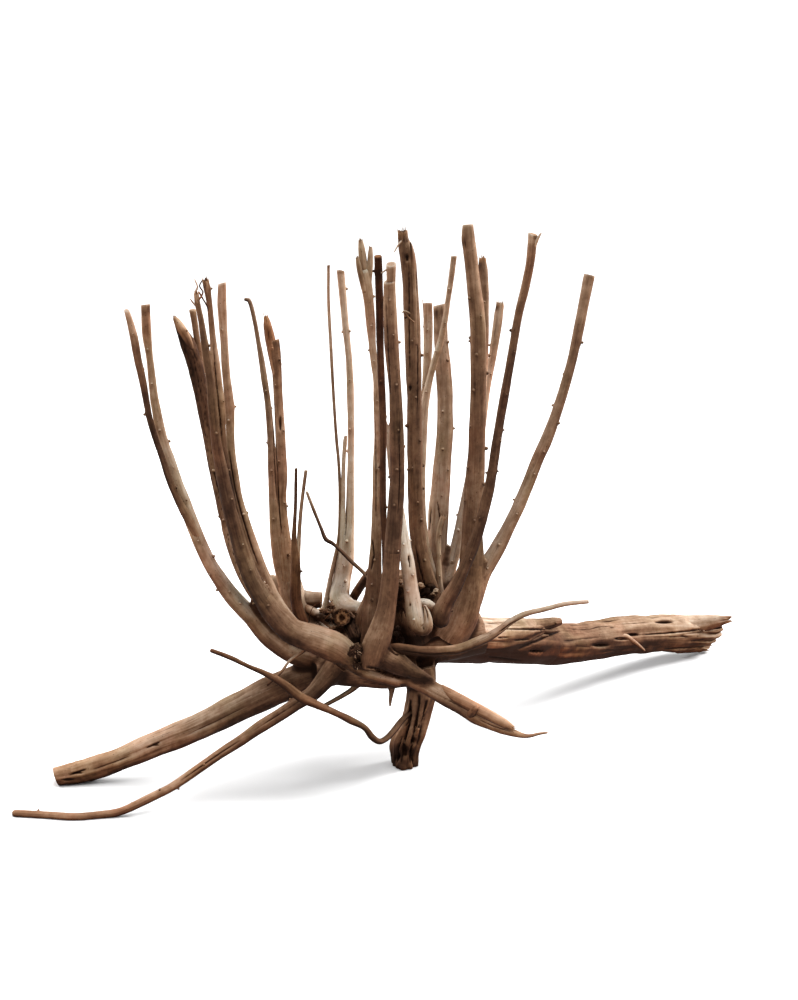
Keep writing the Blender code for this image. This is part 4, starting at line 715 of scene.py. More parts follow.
# The pieces that the limbs outside the crown are joined into
PIECES = {
    "outer_left_stems": ["outer_left", "outer_left_twin"],
    "torn_left_stem": ["torn_left", "torn_left_fork", "torn_left_peel"],
    "front_left_stems": [
        "front_left", "front_left_second", "tip_hair_1", "tip_hair_2", "tip_hair_3", "tip_hair_4",
    ],
    "front_left_third_stem": ["front_left_third"],
    "left_back_stems": ["left_back", "left_back_hook", "left_back_point", "tip_fibre_4"],
    "dark_twigs": ["dark_twig", "dark_twig_fork", "broken_arm", "lower_arm", "slanting_twig", "short_arm"],
    "bleached_stems": ["bleached", "bleached_wand", "bleached_splinter"],
    "forked_stem": ["forked", "forked_prong_left", "forked_prong_right", "forked_sliver"],
    "dark_wand_stem": ["dark_wand"],
    "middle_front_stem": ["middle_front", "middle_front_top", "tip_hair_7"],
    "dark_middle_stem": ["dark_middle", "middle_splinter", "tip_fibre_1", "tip_hair_5", "tip_hair_6"],
    "middle_back_stems": ["middle_back", "leaning_wand", "tip_fibre_3"],
    "broad_back_stem": ["broad_back", "broken_twig"],
    "pale_back_stem": ["pale_back"],
    "right_back_stem": ["right_back"],
    "tallest_stem": ["tallest"],
    "outer_right_stem": ["outer_right"],
    "right_front_stem": ["right_front", "tip_fibre_2"],
    "whitish_stem": ["whitish"],
    "inner_scraps": [
        "sawn_stub", "bark_lump", "inner_arm", "pale_arch", "hair_1", "hair_2", "hair_3", "hair_4", "hair_5",
        "hair_6",
    ],
    "broken_log": [
        "log", "log_plank", "log_twig", "plank_end", "plank_tooth_1", "plank_tooth_2", "plank_tooth_3",
        "plank_tooth_4", "log_lip_upper", "log_lip_lower",
    ],
    "whip_root_piece": ["whip_root"],
    "lower_right_root_piece": ["lower_right_root", "root_layer", "root_scar"],
    "foot_root": ["foot", "rootlet_spike"],
    "thick_left_root_piece": ["thick_left_root"],
    "thin_left_root_piece": ["thin_left_root"],
    "crossing_roots": ["crossing_root", "rootlet_left", "rootlet_middle"],
}

# How finely a limb is made: the steps along it and round it in millimetres, and the number of its sides
RING_STEP = 2.2
SIDE_WIDTH = 0.9
WIDE_PERCENTILE = 85
FEWEST_SIDES = 12
MOST_SIDES = 150
HAIR_RADIUS = 1.0
HAIR_SIDES = 6

# A cut or torn end: where the limb's own rings stop and where its rim lies, in millimetres from the end, and
# how much the last ring is narrowed
SAWN_RINGS = (1.2, 0.35)
NARROWEST_CUT = 0.6
TORN_RINGS = (0.9, 0.4)
TORN_NARROWS = 0.9

# A worn or pointed end: how many radii long it is, and where the rings of its round nose lie
WORN_NOSE = 0.9
POINTED_NOSE = 1.4
NOSE_RINGS = (0.0, 0.35, 0.6, 0.8, 0.93, 0.985)

# Limbs whose roots stay in sight and are rounded off
ROUND_ROOTS = {"middle_front", "whitish", "right_front", "heel_fan", "broken_arm"}

# The skin's lumps and the furrows along its grain: their heights as shares of the half thickness, their sizes
# in millimetres, and how many furrows lie round a limb
ROUGHNESS = 0.07
ROUGH_SCALE = 26.0
BUMPS = 0.04
BUMP_SCALE = 9.0
BUMP_STRETCH = 0.7
FURROW_DEPTH = 0.035
FURROW_COUNT = 2.6
FURROW_RUN = 70.0
DEEP_FURROWS = {
    "root_layer": 0.06, "left_back_point": 0.3, "torn_left": 0.12, "crown": 0.07, "crown_belly": 0.07,
    "crown_heart": 0.2, "crown_shoulder": 0.14, "foot": 0.24, "log": 0.09, "log_plank": 0.12,
    "thick_left_root": 0.07, "bark_lump": 0.25, "sawn_stub": 0.12,
}

# How deep the splits of weathering go, in millimetres
SPLIT_DEPTH = 0.2
DEEP_SPLITS = {
    "log": 0.7, "log_plank": 0.9, "foot": 2.6, "thick_left_root": 0.4, "thin_left_root": 0.25, "crown": 0.35,
    "crown_belly": 0.5, "crown_shoulder": 0.5, "crown_heart": 1.4, "lower_right_root": 0.25,
    "dark_middle": 0.5, "torn_left": 1.2, "left_back_point": 0.9, "left_back": 0.5, "whitish": 0.4,
    "bark_lump": 1.6,
}

# The ribs, ripples and splits in millimetres: their sizes round and along a limb, their heights, and the size
# of the patches that are split. A split opens where the noise that places it is under SPLIT_WIDTH.
RIB_SIZE = (1.7, 1.7, 50.0)
RIB_HEIGHT = 0.05
RIPPLE_SIZE = 6.0
RIPPLE_HEIGHT = 0.1
SPLIT_SIZE = (7.5, 7.5, 130.0)
SPLIT_WIDTH = 0.085
SPLIT_PATCH = (16.0, 16.0, 60.0)
DARKEST_SPLIT = 1.6

# The bark's plates and crumbs in millimetres, and the gaps between them
PLATE_SIZE = (2.6, 2.6, 4.2)
CRUMB_SIZE = (1.3, 1.3, 1.9)
GAP_DEPTH = 0.7
GAP_DIRT = 0.55

# The drawn cracks, hollows, and patches of stain and painted light: how squarely the wood has to face the eye
# to be cut, how far they waver and over what length in millimetres, a crack's half width as a share of the
# drawn one, and how dark the painted shade in the deepest is
CUT_FACING = 0.12
CRACK_WAVER = 0.35
PATCH_WAVER = 0.8
WAVER_LENGTH = 3.0
CRACK_HALF_WIDTH = 0.62
CRACK_SHADE = 1.1

# How warm the wood is where nothing else is said
PLAIN_WARMTH = -0.1

# The painted shade deep among the limbs, and where one passes within a few millimetres of another. The last
# fades between these places in the crown's oval.
CAVITY_SHADE = 1.1
TOUCH_REACH = 3.2
TOUCH_SHADE = 0.7
TOUCH_EDGE = (0.7, 0.94)

# Dents and creases: how far round them the skin is evened out to find them, and how dark the painted shade in
# them and how pale the painted light on ridges may become
DENT_ROUNDS = 6
DENT_SHADE = 1.6
DENT_LIMITS = (-0.35, 1.0)
HOLLOW_LIMITS = (-0.4, 1.4)

# How much darker and warmer the wood that faces down is painted as shade, and how much paler what faces up is
# painted as light
UNDER_FROM = -0.6
UNDER_TO = 0.8
UNDER_DARK = 0.5
UNDER_WARM = {"broken_log": 2.2, "lower_right_root_piece": 0.3}
UNDER_WARM_OTHERS = 1.0
TOP_FROM = 0.2
TOP_TO = 0.9
TOP_PALE = 0.07

# Bud knobs: how far apart the ruled ones are, their radius, the thinnest limb that has some, and how near to
# a drawn one the skin has to be, in millimetres
KNOB_EVERY = 36.0
KNOB_RADIUS = 1.3
THINNEST_WITH_KNOBS = 6.0
KNOB_MISS = 4.0
GOLDEN_TURN = math.radians(137.5)

# The rise that a knob sits on, and the line of painted shade round its foot, in millimetres
RISE_WIDTH = 2.3
RISE_HEIGHT = 0.6
RISE_REACH = 8.0
FOOT_RADIUS = 2.1
FOOT_WIDTH = 0.9
FOOT_SHADE = 0.42

# Limbs without knobs
BARE = {
    "bark_lump", "short_arm", "broken_arm", "log", "log_plank", "log_twig", "whip_root", "foot",
    "lower_right_root", "thick_left_root", "crossing_root", "rootlet_left", "rootlet_middle", "rootlet_spike",
    "root_layer", "root_scar", "forked_prong_left", "forked_prong_right", "middle_front_top", "forked_sliver",
    "bleached_splinter", "slanting_twig",
}

# How fresh and orange the wood shows at a torn end and at a sawn one
FRESH = {
    "left_back_point": 1.0, "log": 0.15, "pale_back": 0.9, "front_left": 0.8, "front_left_second": 0.5,
    "dark_middle": 0.35,
}
FRESH_OTHERS = 0.45
FRESH_SAWN = 0.6

# The longest fibre on a torn tip in millimetres, how ragged the tamer tips are, and who kept how much bark
LONGEST_FIBRE = 4.0
RAGGED = {"dark_middle": 0.3, "pale_back": 0.5}
BARKY = {
    "root_scar": 0.8, "torn_left": 1.0, "left_back_point": 0.4, "bark_lump": 1.0, "sawn_stub": 0.8,
    "foot": 0.4, "dark_middle": 0.3,
}

# A torn end, in radii of the limb: how far down it reaches, how far its teeth go back and out, how many of
# each size stand round it, and how much it is thinned
TEAR_REACH = 2.6
TOOTH_LIMITS = (-1.1, 1.7)
TEETH = ((1.1, 0.9), (3.0, 0.7), (7.0, 0.6))
TEAR_THINS = 0.22

# A sawn end out of square: how many radii down that reaches, and the least and the most slope
SLANT_REACH = 2.5
SLANT = (0.08, 0.4)

# The steps in from the rim of the sawn stub: each one's width as a share of the radius, and its sink in mm
STUB_STEPS = [(0.1, 0.0), (0.12, 0.9), (0.12, 0.1), (0.14, -0.2), (0.12, 0.4), (0.1, 1.6), (0.08, 1.2)]

# Its cut face in shares of the radius: where the rot and the fresh wood fade out, and where the bark starts
STUB_ROT = (0.25, 0.44)
STUB_FRESH = (0.7, 0.86)
STUB_BARK = (0.68, 0.86)

# How far the log's broken end reaches in millimetres at each height across it, from its underside to its top,
# how ragged it is there, and how much of its way back its teeth keep
LOG_BREAK = [(-1.0, -11), (-0.75, -5), (-0.55, 0), (-0.2, 2), (0.2, 6), (0.5, 12), (1.0, 15)]
LOG_RAGGED = 1.3
LOG_BREAK_TURN = (1.0, 0.4, 1.0)

# The rounds of smoothing for the crown's skin, swollen and shrunk back
SWOLLEN_ROUNDS = 2
SHRUNK_ROUNDS = 4

# Pebbles, scraps and burrs: their flattening, the dents in them, and how many bristles a burr has
LUMP_STRETCH = (1.0, 0.8, 0.85)
LUMP_DENTS = ((1.1, 0.5), (2.7, 0.3), (6.0, 0.12))
BURR_BRISTLES = 26


def from_eye(side, lift):
    """The way from the eye to a point so far aside of and above the middle of the drawing."""
    low, high = math.sin(EYE_DIP), math.cos(EYE_DIP)
    return Vector((side, EYE_DISTANCE * high + lift * low, lift * high - EYE_DISTANCE * low))


TO_SOLE = from_eye(-SIGHT_ACROSS, -SIGHT_UP)


def in_space(across, up, back):
    """The place of a point of the drawing that lies so far back, and how much larger the thing is there."""
    ray = from_eye(across - SIGHT_ACROSS, up - SIGHT_UP)
    grow = (TO_SOLE.y + back) / ray.y
    return (ray * grow - TO_SOLE) * MM, grow


def on_drawing(places):
    """Where places in space lie on the drawing."""
    low, high = math.sin(EYE_DIP), math.cos(EYE_DIP)
    seen = places / MM + np.array(TO_SOLE)
    grow = (seen[:, 1] * high - seen[:, 2] * low) / EYE_DISTANCE
    across = seen[:, 0] / grow + SIGHT_ACROSS
    up = (seen[:, 1] * low + seen[:, 2] * high) / grow + SIGHT_UP
    return np.stack([across, up], axis=1)


def unit(vectors):
    """The vectors, each made 1 long."""
    return vectors / np.maximum(np.linalg.norm(vectors, axis=1, keepdims=True), 1e-9)


def facing_eye(places, out):
    """How squarely a surface faces the eye, from -1 to 1."""
    to_eye = unit(-np.array(TO_SOLE) * MM - places)
    return np.sum(to_eye * out, axis=1)


def rough(points):
    """Soft noise between -1 and 1 at each point."""
    return np.array([noise.noise(point) for point in points.tolist()])


def ramp(values, low, high):
    """Eases from 0 at low to 1 at high."""
    share = np.clip((values - low) / (high - low), 0.0, 1.0)
    return share * share * (3 - 2 * share)


def smooth_path(stations, step, tones):
    """Points close together on a smooth curve through a limb's stations: the place, radius, tone, run from
    the root and warmth of each."""
    knots = []
    for across, up, back, thick in stations:
        place, grow = in_space(across, up, back)
        knots.append(Vector((*place, thick * grow * MM / 2)))
    knots = [2 * knots[0] - knots[1]] + knots + [2 * knots[-1] - knots[-2]]
    path = []
    for before, start, end, after in zip(knots, knots[1:], knots[2:], knots[3:]):
        steps = max(2, round((end - start).length / (step * MM)))
        gaps = [max((q - p).length, MM) ** 0.5 for p, q in ((before, start), (start, end), (end, after))]
        leave = ((start - before) / gaps[0] - (end - before) / (gaps[0] + gaps[1])) * gaps[1] + end - start
        reach = ((after - end) / gaps[2] - (after - start) / (gaps[1] + gaps[2])) * gaps[1] + end - start
        for i in range(steps):
            t = i / steps
            curve = start * (2 * t**3 - 3 * t**2 + 1) + leave * (t**3 - 2 * t**2 + t)
            path.append(curve + end * (3 * t**2 - 2 * t**3) + reach * (t**3 - t**2))
    path.append(knots[-2])
    return with_runs(np.array([tuple(point) for point in path]), tones)


def with_runs(path, tones):
    """Adds the tone, the run and the warmth at each point of a path."""
    run = np.concatenate([[0.0], np.cumsum(np.linalg.norm(np.diff(path[:, :3], axis=0), axis=1))])
    tone, warmth = (np.interp(run / run[-1], (0.0, 0.5, 1.0), values) for values in tones)
    return np.column_stack([path, tone, run, warmth])


def headings(path):
    """The path's direction at each point."""
    return unit(np.gradient(path[:, :3], axis=0))


def finish_tip(path, ending):
    """Adds the rings that an ending needs."""
    radius = path[-1, 3]
    rest = path[:-1]
    left = np.abs(path[-1, 5] - path[:, 5])

    def ring(back_by, share):
        """The path's own ring so far back from its end, narrowed."""
        row = np.array([np.interp(back_by, left[::-1], column[::-1]) for column in path.T])
        row[3] *= share
        return row

    clear = left[:-1]
    if ending in ("sawn", "ground", "stub"):
        stop, rim = SAWN_RINGS
        narrowed = max(NARROWEST_CUT, 1 - rim * MM / radius)
        return np.vstack([rest[clear > stop * MM], ring(rim * MM, 1.0), ring(0.0, narrowed)])
    if ending == "torn":
        stop, rim = TORN_RINGS
        return np.vstack([rest[clear > stop * MM], ring(rim * MM, 1.0), ring(0.0, TORN_NARROWS)])
    nose = radius * (WORN_NOSE if ending == "worn" else POINTED_NOSE)
    arc = [ring(nose * (1 - t), math.sqrt(1 - t * t)) for t in NOSE_RINGS]
    return np.vstack([rest[clear > nose]] + arc)


def sides_for(path):
    """How many sides a limb's tube needs, an even number."""
    widest = 2 * math.pi * np.percentile(path[:, 3], WIDE_PERCENTILE) / MM
    if path[:, 3].max() < HAIR_RADIUS * MM:
        return HAIR_SIDES
    return int(min(max(widest / SIDE_WIDTH, FEWEST_SIDES), MOST_SIDES) // 2 * 2)


def round_section(sides):
    """A circle of 1 mm radius, the section that the tubes are drawn with."""
    data = bpy.data.curves.new("section", "CURVE")
    circle = data.splines.new("POLY")
    circle.points.add(sides - 1)
    for i, point in enumerate(circle.points):
        point.co = (MM * math.cos(math.tau * i / sides), MM * math.sin(math.tau * i / sides), 0.0, 1.0)
    circle.use_cyclic_u = True
    return bpy.data.objects.new("section", data)


def sweep(name, path, sides):
    """A closed tube along a path, its section scaled from point to point, made a mesh."""
    data = bpy.data.curves.new(name, "CURVE")
    data.dimensions = "3D"
    data.bevel_mode = "OBJECT"
    section = round_section(sides)
    data.bevel_object = section
    spline = data.splines.new("POLY")
    spline.points.add(len(path) - 1)
    spline.points.foreach_set("co", np.hstack([path[:, :3], np.ones((len(path), 1))]).ravel())
    spline.points.foreach_set("radius", path[:, 3] / MM)
    curve = bpy.data.objects.new(name, data)
    bpy.context.scene.collection.objects.link(curve)
    depsgraph = bpy.context.evaluated_depsgraph_get()
    mesh = bpy.data.meshes.new_from_object(curve.evaluated_get(depsgraph))
    bpy.data.objects.remove(curve)
    bpy.data.curves.remove(data)
    bpy.data.curves.remove(section.data)
    bm = bmesh.new()
    bm.from_mesh(mesh)
    bmesh.ops.holes_fill(bm, edges=[edge for edge in bm.edges if edge.is_boundary], sides=0)
    bmesh.ops.recalc_face_normals(bm, faces=bm.faces)
    bm.to_mesh(mesh)
    bm.free()
    return mesh


def numbers(items, field, size):
    """A field of many items, a row of so many numbers for each."""
    flat = np.empty(len(items) * size, dtype=np.float32)
    items.foreach_get(field, flat)
    return flat.reshape(-1, size).astype(float)


def places_of(mesh):
    return numbers(mesh.vertices, "co", 3)


def normals_of(mesh):
    return numbers(mesh.vertex_normals, "vector", 3)


def put_places(mesh, places):
    mesh.vertices.foreach_set("co", places.astype(np.float32).ravel())
    mesh.update()


def sink_cap(mesh, sides, insets):
    """Insets the cap at a tube's tip, each time by a width and a sink in metres."""
    bm = bmesh.new()
    bm.from_mesh(mesh)
    last = len(mesh.vertices) - sides
    cap = next(face for face in bm.faces if min(vertex.index for vertex in face.verts) >= last)
    for width, sink in insets:
        bmesh.ops.inset_individual(bm, faces=[cap], thickness=width, depth=-sink, use_even_offset=True)
    bm.to_mesh(mesh)
    bm.free()


NAMES = list(LIMBS)


class Skin:
    """The vertices of a mesh while they are shaped, and what its paint reads at each."""

    def __init__(self, place, out, grain, girth, tone, owner):
        self.place = place
        self.out = out
        self.grain = grain
        self.girth = girth
        self.tone = tone
        self.owner = owner
        self.warmth = np.full(len(place), PLAIN_WARMTH)
        self.hollow = np.zeros(len(place))
        self.fresh = np.zeros(len(place))

    def push(self, distance):
        """Moves the skin out, or in where the distance is negative."""
        self.place = self.place + self.out * distance[:, None]


def limb_skin(name, path, mesh, sides):
    """The skin of a limb that is still a plain tube."""
    place = places_of(mesh)
    ring = np.minimum(np.arange(len(place)) // sides, len(path) - 1)
    run, along = path[:, 5], headings(path)
    off = place - path[ring, :3]
    girth = np.linalg.norm(off, axis=1)
    turn = (np.arange(len(place)) % sides) * math.tau / sides
    grain = np.stack([girth * np.cos(turn), girth * np.sin(turn), run[ring]], axis=1)
    out = unit(off)
    in_cap = np.arange(len(place)) >= len(path) * sides
    last_ring = off[(len(path) - 1) * sides:len(path) * sides]
    east, north = unit(last_ring[[0, sides // 4]])
    inner = off[in_cap]
    grain[in_cap] = np.stack([inner @ east, inner @ north, run[-1] + inner @ along[-1]], axis=1)
    out[in_cap] = along[-1]
    girth[in_cap] = path[-1, 3]
    skin = Skin(place, out, grain, girth, path[ring, 4], np.full(len(place), NAMES.index(name)))
    rim = off[:len(path) * sides].reshape(len(path), sides, 3)
    skin.warmth = path[ring, 6]
    skin.east = unit(rim[:, 0])[ring]
    skin.north = unit(rim[:, sides // 4])[ring]
    skin.along = along[ring]
    skin.heart = path[ring, :3]
    skin.in_cap = in_cap
    skin.end_run = run[-1]
    skin.end_girth = path[-4:, 3].max()
    return skin


def weather(skin, name):
    """The lumps and furrows that keep a limb from being a turned rod."""
    furrow = DEEP_FURROWS.get(name, FURROW_DEPTH)
    lumps = ROUGHNESS * rough(skin.place / (ROUGH_SCALE * MM))
    along = skin.along * (BUMP_STRETCH * skin.grain[:, 2:] / (BUMP_SCALE * MM))
    stretched = skin.place / (BUMP_SCALE * MM) - along
    lumps += BUMPS * rough(stretched)
    around = skin.out * FURROW_COUNT + skin.heart / (FURROW_RUN * MM)
    push = (lumps + furrow * rough(around)) * skin.girth
    skin.push(np.where(skin.in_cap, 0.0, push))


def owner_values(skin, table, others):
    """Each vertex's value from a table by limb name."""
    values = np.array([table.get(name, others) for name in NAMES])
    return values[skin.owner]


def split(skin, keep=1.0):
    """Fine ribs along the grain, and the splits that drying opens."""
    grain = skin.grain / MM
    ribs = rough(grain / RIB_SIZE)
    ripples = rough(skin.place / (RIPPLE_SIZE * MM))
    seams = np.abs(rough(grain / SPLIT_SIZE))
    where = ramp(rough(grain / SPLIT_PATCH + 7.0), 0.02, 0.4)
    width = np.clip(1 - seams / SPLIT_WIDTH, 0.0, 1.0) * where
    depth = owner_values(skin, DEEP_SPLITS, SPLIT_DEPTH)
    skin.push((RIB_HEIGHT * ribs + RIPPLE_HEIGHT * ripples - width * depth) * MM * keep)
    skin.hollow += width * np.clip(depth / DARKEST_SPLIT, 0.1, 0.9) * keep


def bark(skin):
    """The plates and cross cracks of the bark that some limbs kept."""
    share = owner_values(skin, BARKY, 0.0)
    if not share.any():
        return
    plates = np.abs(rough(skin.grain / MM / PLATE_SIZE))
    plates += 0.6 * np.abs(rough(skin.grain / MM / CRUMB_SIZE + 3.0))
    gap = (1 - ramp(plates, 0.03, 0.22)) * share
    skin.push(-GAP_DEPTH * MM * gap)
    skin.hollow += GAP_DIRT * gap


def line_distance(points, line):
    """Each point's distance from a line through several points, and its share of the way along."""
    best = np.full(len(points), 1e9)
    share = np.zeros(len(points))
    corners = np.array(line, dtype=float)
    for i, (start, end) in enumerate(zip(corners, corners[1:])):
        way = end - start
        t = np.clip(((points - start) @ way) / (way @ way), 0.0, 1.0)
        gap = np.linalg.norm(points - start - t[:, None] * way, axis=1)
        closer = gap < best
        best[closer] = gap[closer]
        share[closer] = (i + t[closer]) / (len(corners) - 1)
    return best, share


def carve(skin):
    """The cracks and hollows that the drawing shows."""
    drawn = on_drawing(skin.place)
    seen = facing_eye(skin.place, skin.out) > CUT_FACING
    for name, cracks in CRACKS.items():
        mine = seen & ((skin.owner == NAMES.index(name)) | (name == "crown"))
        if not mine.any():
            continue
        for width, depth, line in cracks:
            gap, share = line_distance(drawn[mine], line)
            spots = np.column_stack([drawn[mine], share])
            gap += CRACK_WAVER * rough(spots / WAVER_LENGTH)
            ends = np.sqrt(np.clip(4 * share * (1 - share), 0.0, 1.0))
            cut = np.exp(-(gap / (CRACK_HALF_WIDTH * width)) ** 2) * ends
            moved = np.zeros(len(skin.place))
            moved[mine] = -cut * depth * MM
            skin.push(moved)
            # Painted shade in the crack, the darker the deeper it is
            skin.hollow[mine] += cut * min(CRACK_SHADE, 0.2 + depth / 2.5)
    for name, hollows in HOLLOWS.items():
        mine = seen & (skin.owner == NAMES.index(name))
        if not mine.any():
            continue
        for half_wide, half_high, depth, (across, up) in hollows:
            off = (drawn[mine] - (across, up)) / (half_wide, half_high)
            dip = np.exp(-np.sum(off * off, axis=1) ** 1.5)
            moved = np.zeros(len(skin.place))
            moved[mine] = -dip * depth * MM
            skin.push(moved)
            # Painted shade in the hole
            skin.hollow[mine] += dip * CRACK_SHADE


def stain_and_paint_light(skin):
    """The paler and darker patches of single limbs: stains of the wood, and painted shade and painted light.
    """
    drawn = on_drawing(skin.place)
    drawn = drawn + PATCH_WAVER * rough(skin.place / (WAVER_LENGTH * MM))[:, None]
    for name, patches in STAINS_AND_PAINTED_LIGHT.items():
        mine = skin.owner == NAMES.index(name)
        if not mine.any():
            continue
        for half_wide, half_high, paler, warmer, (across, up) in patches:
            off = (drawn[mine] - (across, up)) / (half_wide, half_high)
            fall = np.exp(-np.sum(off * off, axis=1) ** 1.5)
            skin.tone[mine] += paler * fall
            skin.warmth[mine] += warmer * fall


def drawn_knob_spots(skin, name):
    """Where the drawn knobs of a limb sit on its skin."""
    spots = []
    if name not in KNOBS:
        return spots
    drawn = on_drawing(skin.place)
    hidden = (facing_eye(skin.place, skin.out) < 0.05) | (skin.owner != NAMES.index(name))
    for across, up in KNOBS[name]:
        gap = np.linalg.norm(drawn - (across, up), axis=1) + hidden * 1e3
        nearest = int(np.argmin(gap))
        if gap[nearest] < KNOB_MISS:
            spots.append(nearest)
    return spots


def ruled_knob_spots(skin, name, sides, rng):
    """Knobs up the sides that the drawing doesn't show, each a golden turn round from the last."""
    spots = []
    wait, turn = rng.uniform(0.4, 1.0) * KNOB_EVERY, rng.uniform(0, math.tau)
    before = 0.0
    count = int(np.sum(~skin.in_cap)) // sides
    for ring in range(3, count - 5):
        run = skin.grain[ring * sides, 2] / MM
        wait -= run - before
        before = run
        if wait > 0 or skin.girth[ring * sides] * 2 < THINNEST_WITH_KNOBS * MM:
            continue
        turn += GOLDEN_TURN + rng.uniform(-0.35, 0.35)
        spot = ring * sides + int(turn / math.tau * sides) % sides
        wait = KNOB_EVERY * rng.uniform(0.7, 1.3)
        shown = facing_eye(skin.place[spot:spot + 1], skin.out[spot:spot + 1])[0] > 0.25
        if not (shown and name in KNOBS):
            spots.append(spot)
    return spots


def swell_round(skin, spots):
    """The rise that a knob sits on, and a line of painted shade round its foot."""
    for spot in spots:
        gap = np.linalg.norm(skin.place - skin.place[spot], axis=1) / MM
        near = gap < RISE_REACH
        rise = np.zeros(len(gap))
        rise[near] = np.exp(-((gap[near] / RISE_WIDTH) ** 2)) * RISE_HEIGHT * MM
        skin.push(rise)
        # Painted shade in a ring round the knob's foot
        skin.hollow[near] += FOOT_SHADE * np.exp(-(((gap[near] - FOOT_RADIUS) / FOOT_WIDTH) ** 2))


def tear(skin, name, rng):
    """Breaks a tip: long and short teeth round it, thinned, over a sunken heart."""
    reach = TEAR_REACH * skin.end_girth
    near = ramp(skin.grain[:, 2], skin.end_run - reach, skin.end_run)
    near[skin.in_cap] = 0.75
    circle = unit(np.hstack([skin.grain[:, :2], np.full((len(near), 1), 1e-9)]))
    shift = np.zeros(len(near))
    seed = rng.uniform(0, 50)
    for times, size in TEETH:
        shift += size * rough(circle * times + seed)
    shift = np.clip(shift, *TOOTH_LIMITS) * skin.end_girth * RAGGED.get(name, 1.0)
    if name == "log":
        height = np.clip((skin.place - skin.heart)[:, 2] / skin.end_girth, -1.0, 1.0)
        levels, reaches = zip(*LOG_BREAK)
        level = np.interp(height, levels, np.array(reaches) * MM)
        shift = level + 0.1 * shift + LOG_RAGGED * MM * rough(circle * 7.0)
        near[skin.in_cap] = 0.9
        skin.along = unit(skin.along * LOG_BREAK_TURN)
    thin = TEAR_THINS * near * (1 + 0.8 * rough(circle * 4.0 + seed + 9.0))
    inward = np.where(skin.in_cap, 0.0, thin * skin.girth)
    skin.place = skin.place + skin.along * (shift * near)[:, None] - skin.out * inward[:, None]
    fresh = FRESH.get(name, FRESH_OTHERS)
    skin.fresh += fresh * ramp(skin.grain[:, 2], skin.end_run - 1.3 * skin.end_girth, skin.end_run + 0.2 * MM)
    skin.fresh[skin.in_cap] = fresh
    # Painted shade in the sunken heart of the torn end
    skin.hollow[skin.in_cap] += 0.35


def slant(skin, rng):
    """Turns a sawn end a little out of square."""
    reach = SLANT_REACH * skin.end_girth
    near = ramp(skin.grain[:, 2], skin.end_run - reach, skin.end_run)
    near[skin.in_cap] = 1.0
    turn, slope = rng.uniform(0, math.tau), rng.uniform(*SLANT)
    across = skin.grain[:, 0] * math.cos(turn) + skin.grain[:, 1] * math.sin(turn)
    skin.place = skin.place + skin.along * (across * slope * near)[:, None]


def show_stub(skin):
    """The cut face of the stub: orange wood inside its bark, rotted dark at the middle."""
    middle = np.linalg.norm(skin.grain[:, :2], axis=1) / skin.end_girth
    share = np.where(skin.in_cap, middle, 1.0) + 0.3 * rough(skin.place / (3.6 * MM))
    skin.fresh += 0.75 * ramp(-share, -STUB_FRESH[1], -STUB_FRESH[0])
    skin.hollow += 1.1 * ramp(-share, -STUB_ROT[1], -STUB_ROT[0]) + 0.5 * ramp(share, *STUB_BARK)
    skin.hollow += 0.7 * ramp(rough(skin.grain / (1.5 * MM)), 0.15, 0.4)
    ragged = rough(skin.place / (1.6 * MM))
    skin.push(np.where(skin.in_cap, 0.25, 0.55) * ragged * MM)


def save_skin(mesh, skin):
    """Writes the shape and what the paint reads into the mesh."""
    put_places(mesh, skin.place)
    grain = mesh.attributes.new("grain", "FLOAT_VECTOR", "POINT")
    grain.data.foreach_set("vector", skin.grain.astype(np.float32).ravel())
    for label in ("tone", "warmth", "hollow", "fresh"):
        values = getattr(skin, label)
        layer = mesh.attributes.new(label, "FLOAT", "POINT")
        layer.data.foreach_set("value", values.astype(np.float32))


def crown_oval(places):
    """How far out each place is in the crown's oval on the drawing: 0 at its middle, 1 on its edge."""
    off = (on_drawing(places) - CROWN_MIDDLE) / CROWN_HALF_SIZE
    return np.sum(off * off, axis=1)


def in_crown(path):
    """Which points of a path lie inside the crown's oval."""
    return crown_oval(path[:, :3]) < 1.0


def place_object(name, mesh):
    """An object for a mesh, in the scene."""
    thing = bpy.data.objects.new(name, mesh)
    bpy.context.scene.collection.objects.link(thing)
    return thing


def join(things, name):
    """Several objects made one."""
    with bpy.context.temp_override(active_object=things[0], selected_editable_objects=things):
        bpy.ops.object.join()
    whole = things[0]
    whole.name = name
    whole.data.name = name
    return whole


def knob_mesh(name, skin, spots, rng):
    """The pimples themselves, small domes that lean up the stem."""
    bm = bmesh.new()
    owners = []
    for spot in spots:
        out, along = Vector(skin.out[spot]), Vector(skin.along[spot])
        size = KNOB_RADIUS * MM * rng.uniform(0.75, 1.3) * min(1.0, 0.55 + skin.girth[spot] / MM * 0.06)
        lean = (out + along * rng.uniform(0.05, 0.35)).normalized()
        turn = lean.to_track_quat("Z", "Y").to_matrix().to_4x4()
        stretch = Matrix.Diagonal((1.0, 1.15, rng.uniform(0.9, 1.3), 1.0))
        middle = Vector(skin.place[spot]) + out * size * 0.25
        stand = Matrix.Translation(middle) @ turn @ stretch
        made = bmesh.ops.create_uvsphere(bm, u_segments=10, v_segments=6, radius=size, matrix=stand)
        owners += [spot] * len(made["verts"])
    mesh = bpy.data.meshes.new(name)
    bm.to_mesh(mesh)
    bm.free()
    owners = np.array(owners)
    place = places_of(mesh)
    out = normals_of(mesh)
    off = place - skin.place[owners]
    high = np.sum(off * skin.out[owners], axis=1) / (KNOB_RADIUS * MM)
    grain = skin.grain[owners] + off
    domes = Skin(place, out, grain, skin.girth[owners], skin.tone[owners], skin.owner[owners])
    domes.warmth = skin.warmth[owners]
    # Painted highlight on each dome's top and painted shade round its foot
    domes.tone = domes.tone - 0.08 + 0.06 * ramp(high, 0.4, 1.1)
    domes.hollow += 0.4 * (1 - ramp(high, 0.0, 0.6))
    domes.fresh += 0.08 * ramp(high, 0.7, 1.2)
    save_skin(mesh, domes)
    return mesh


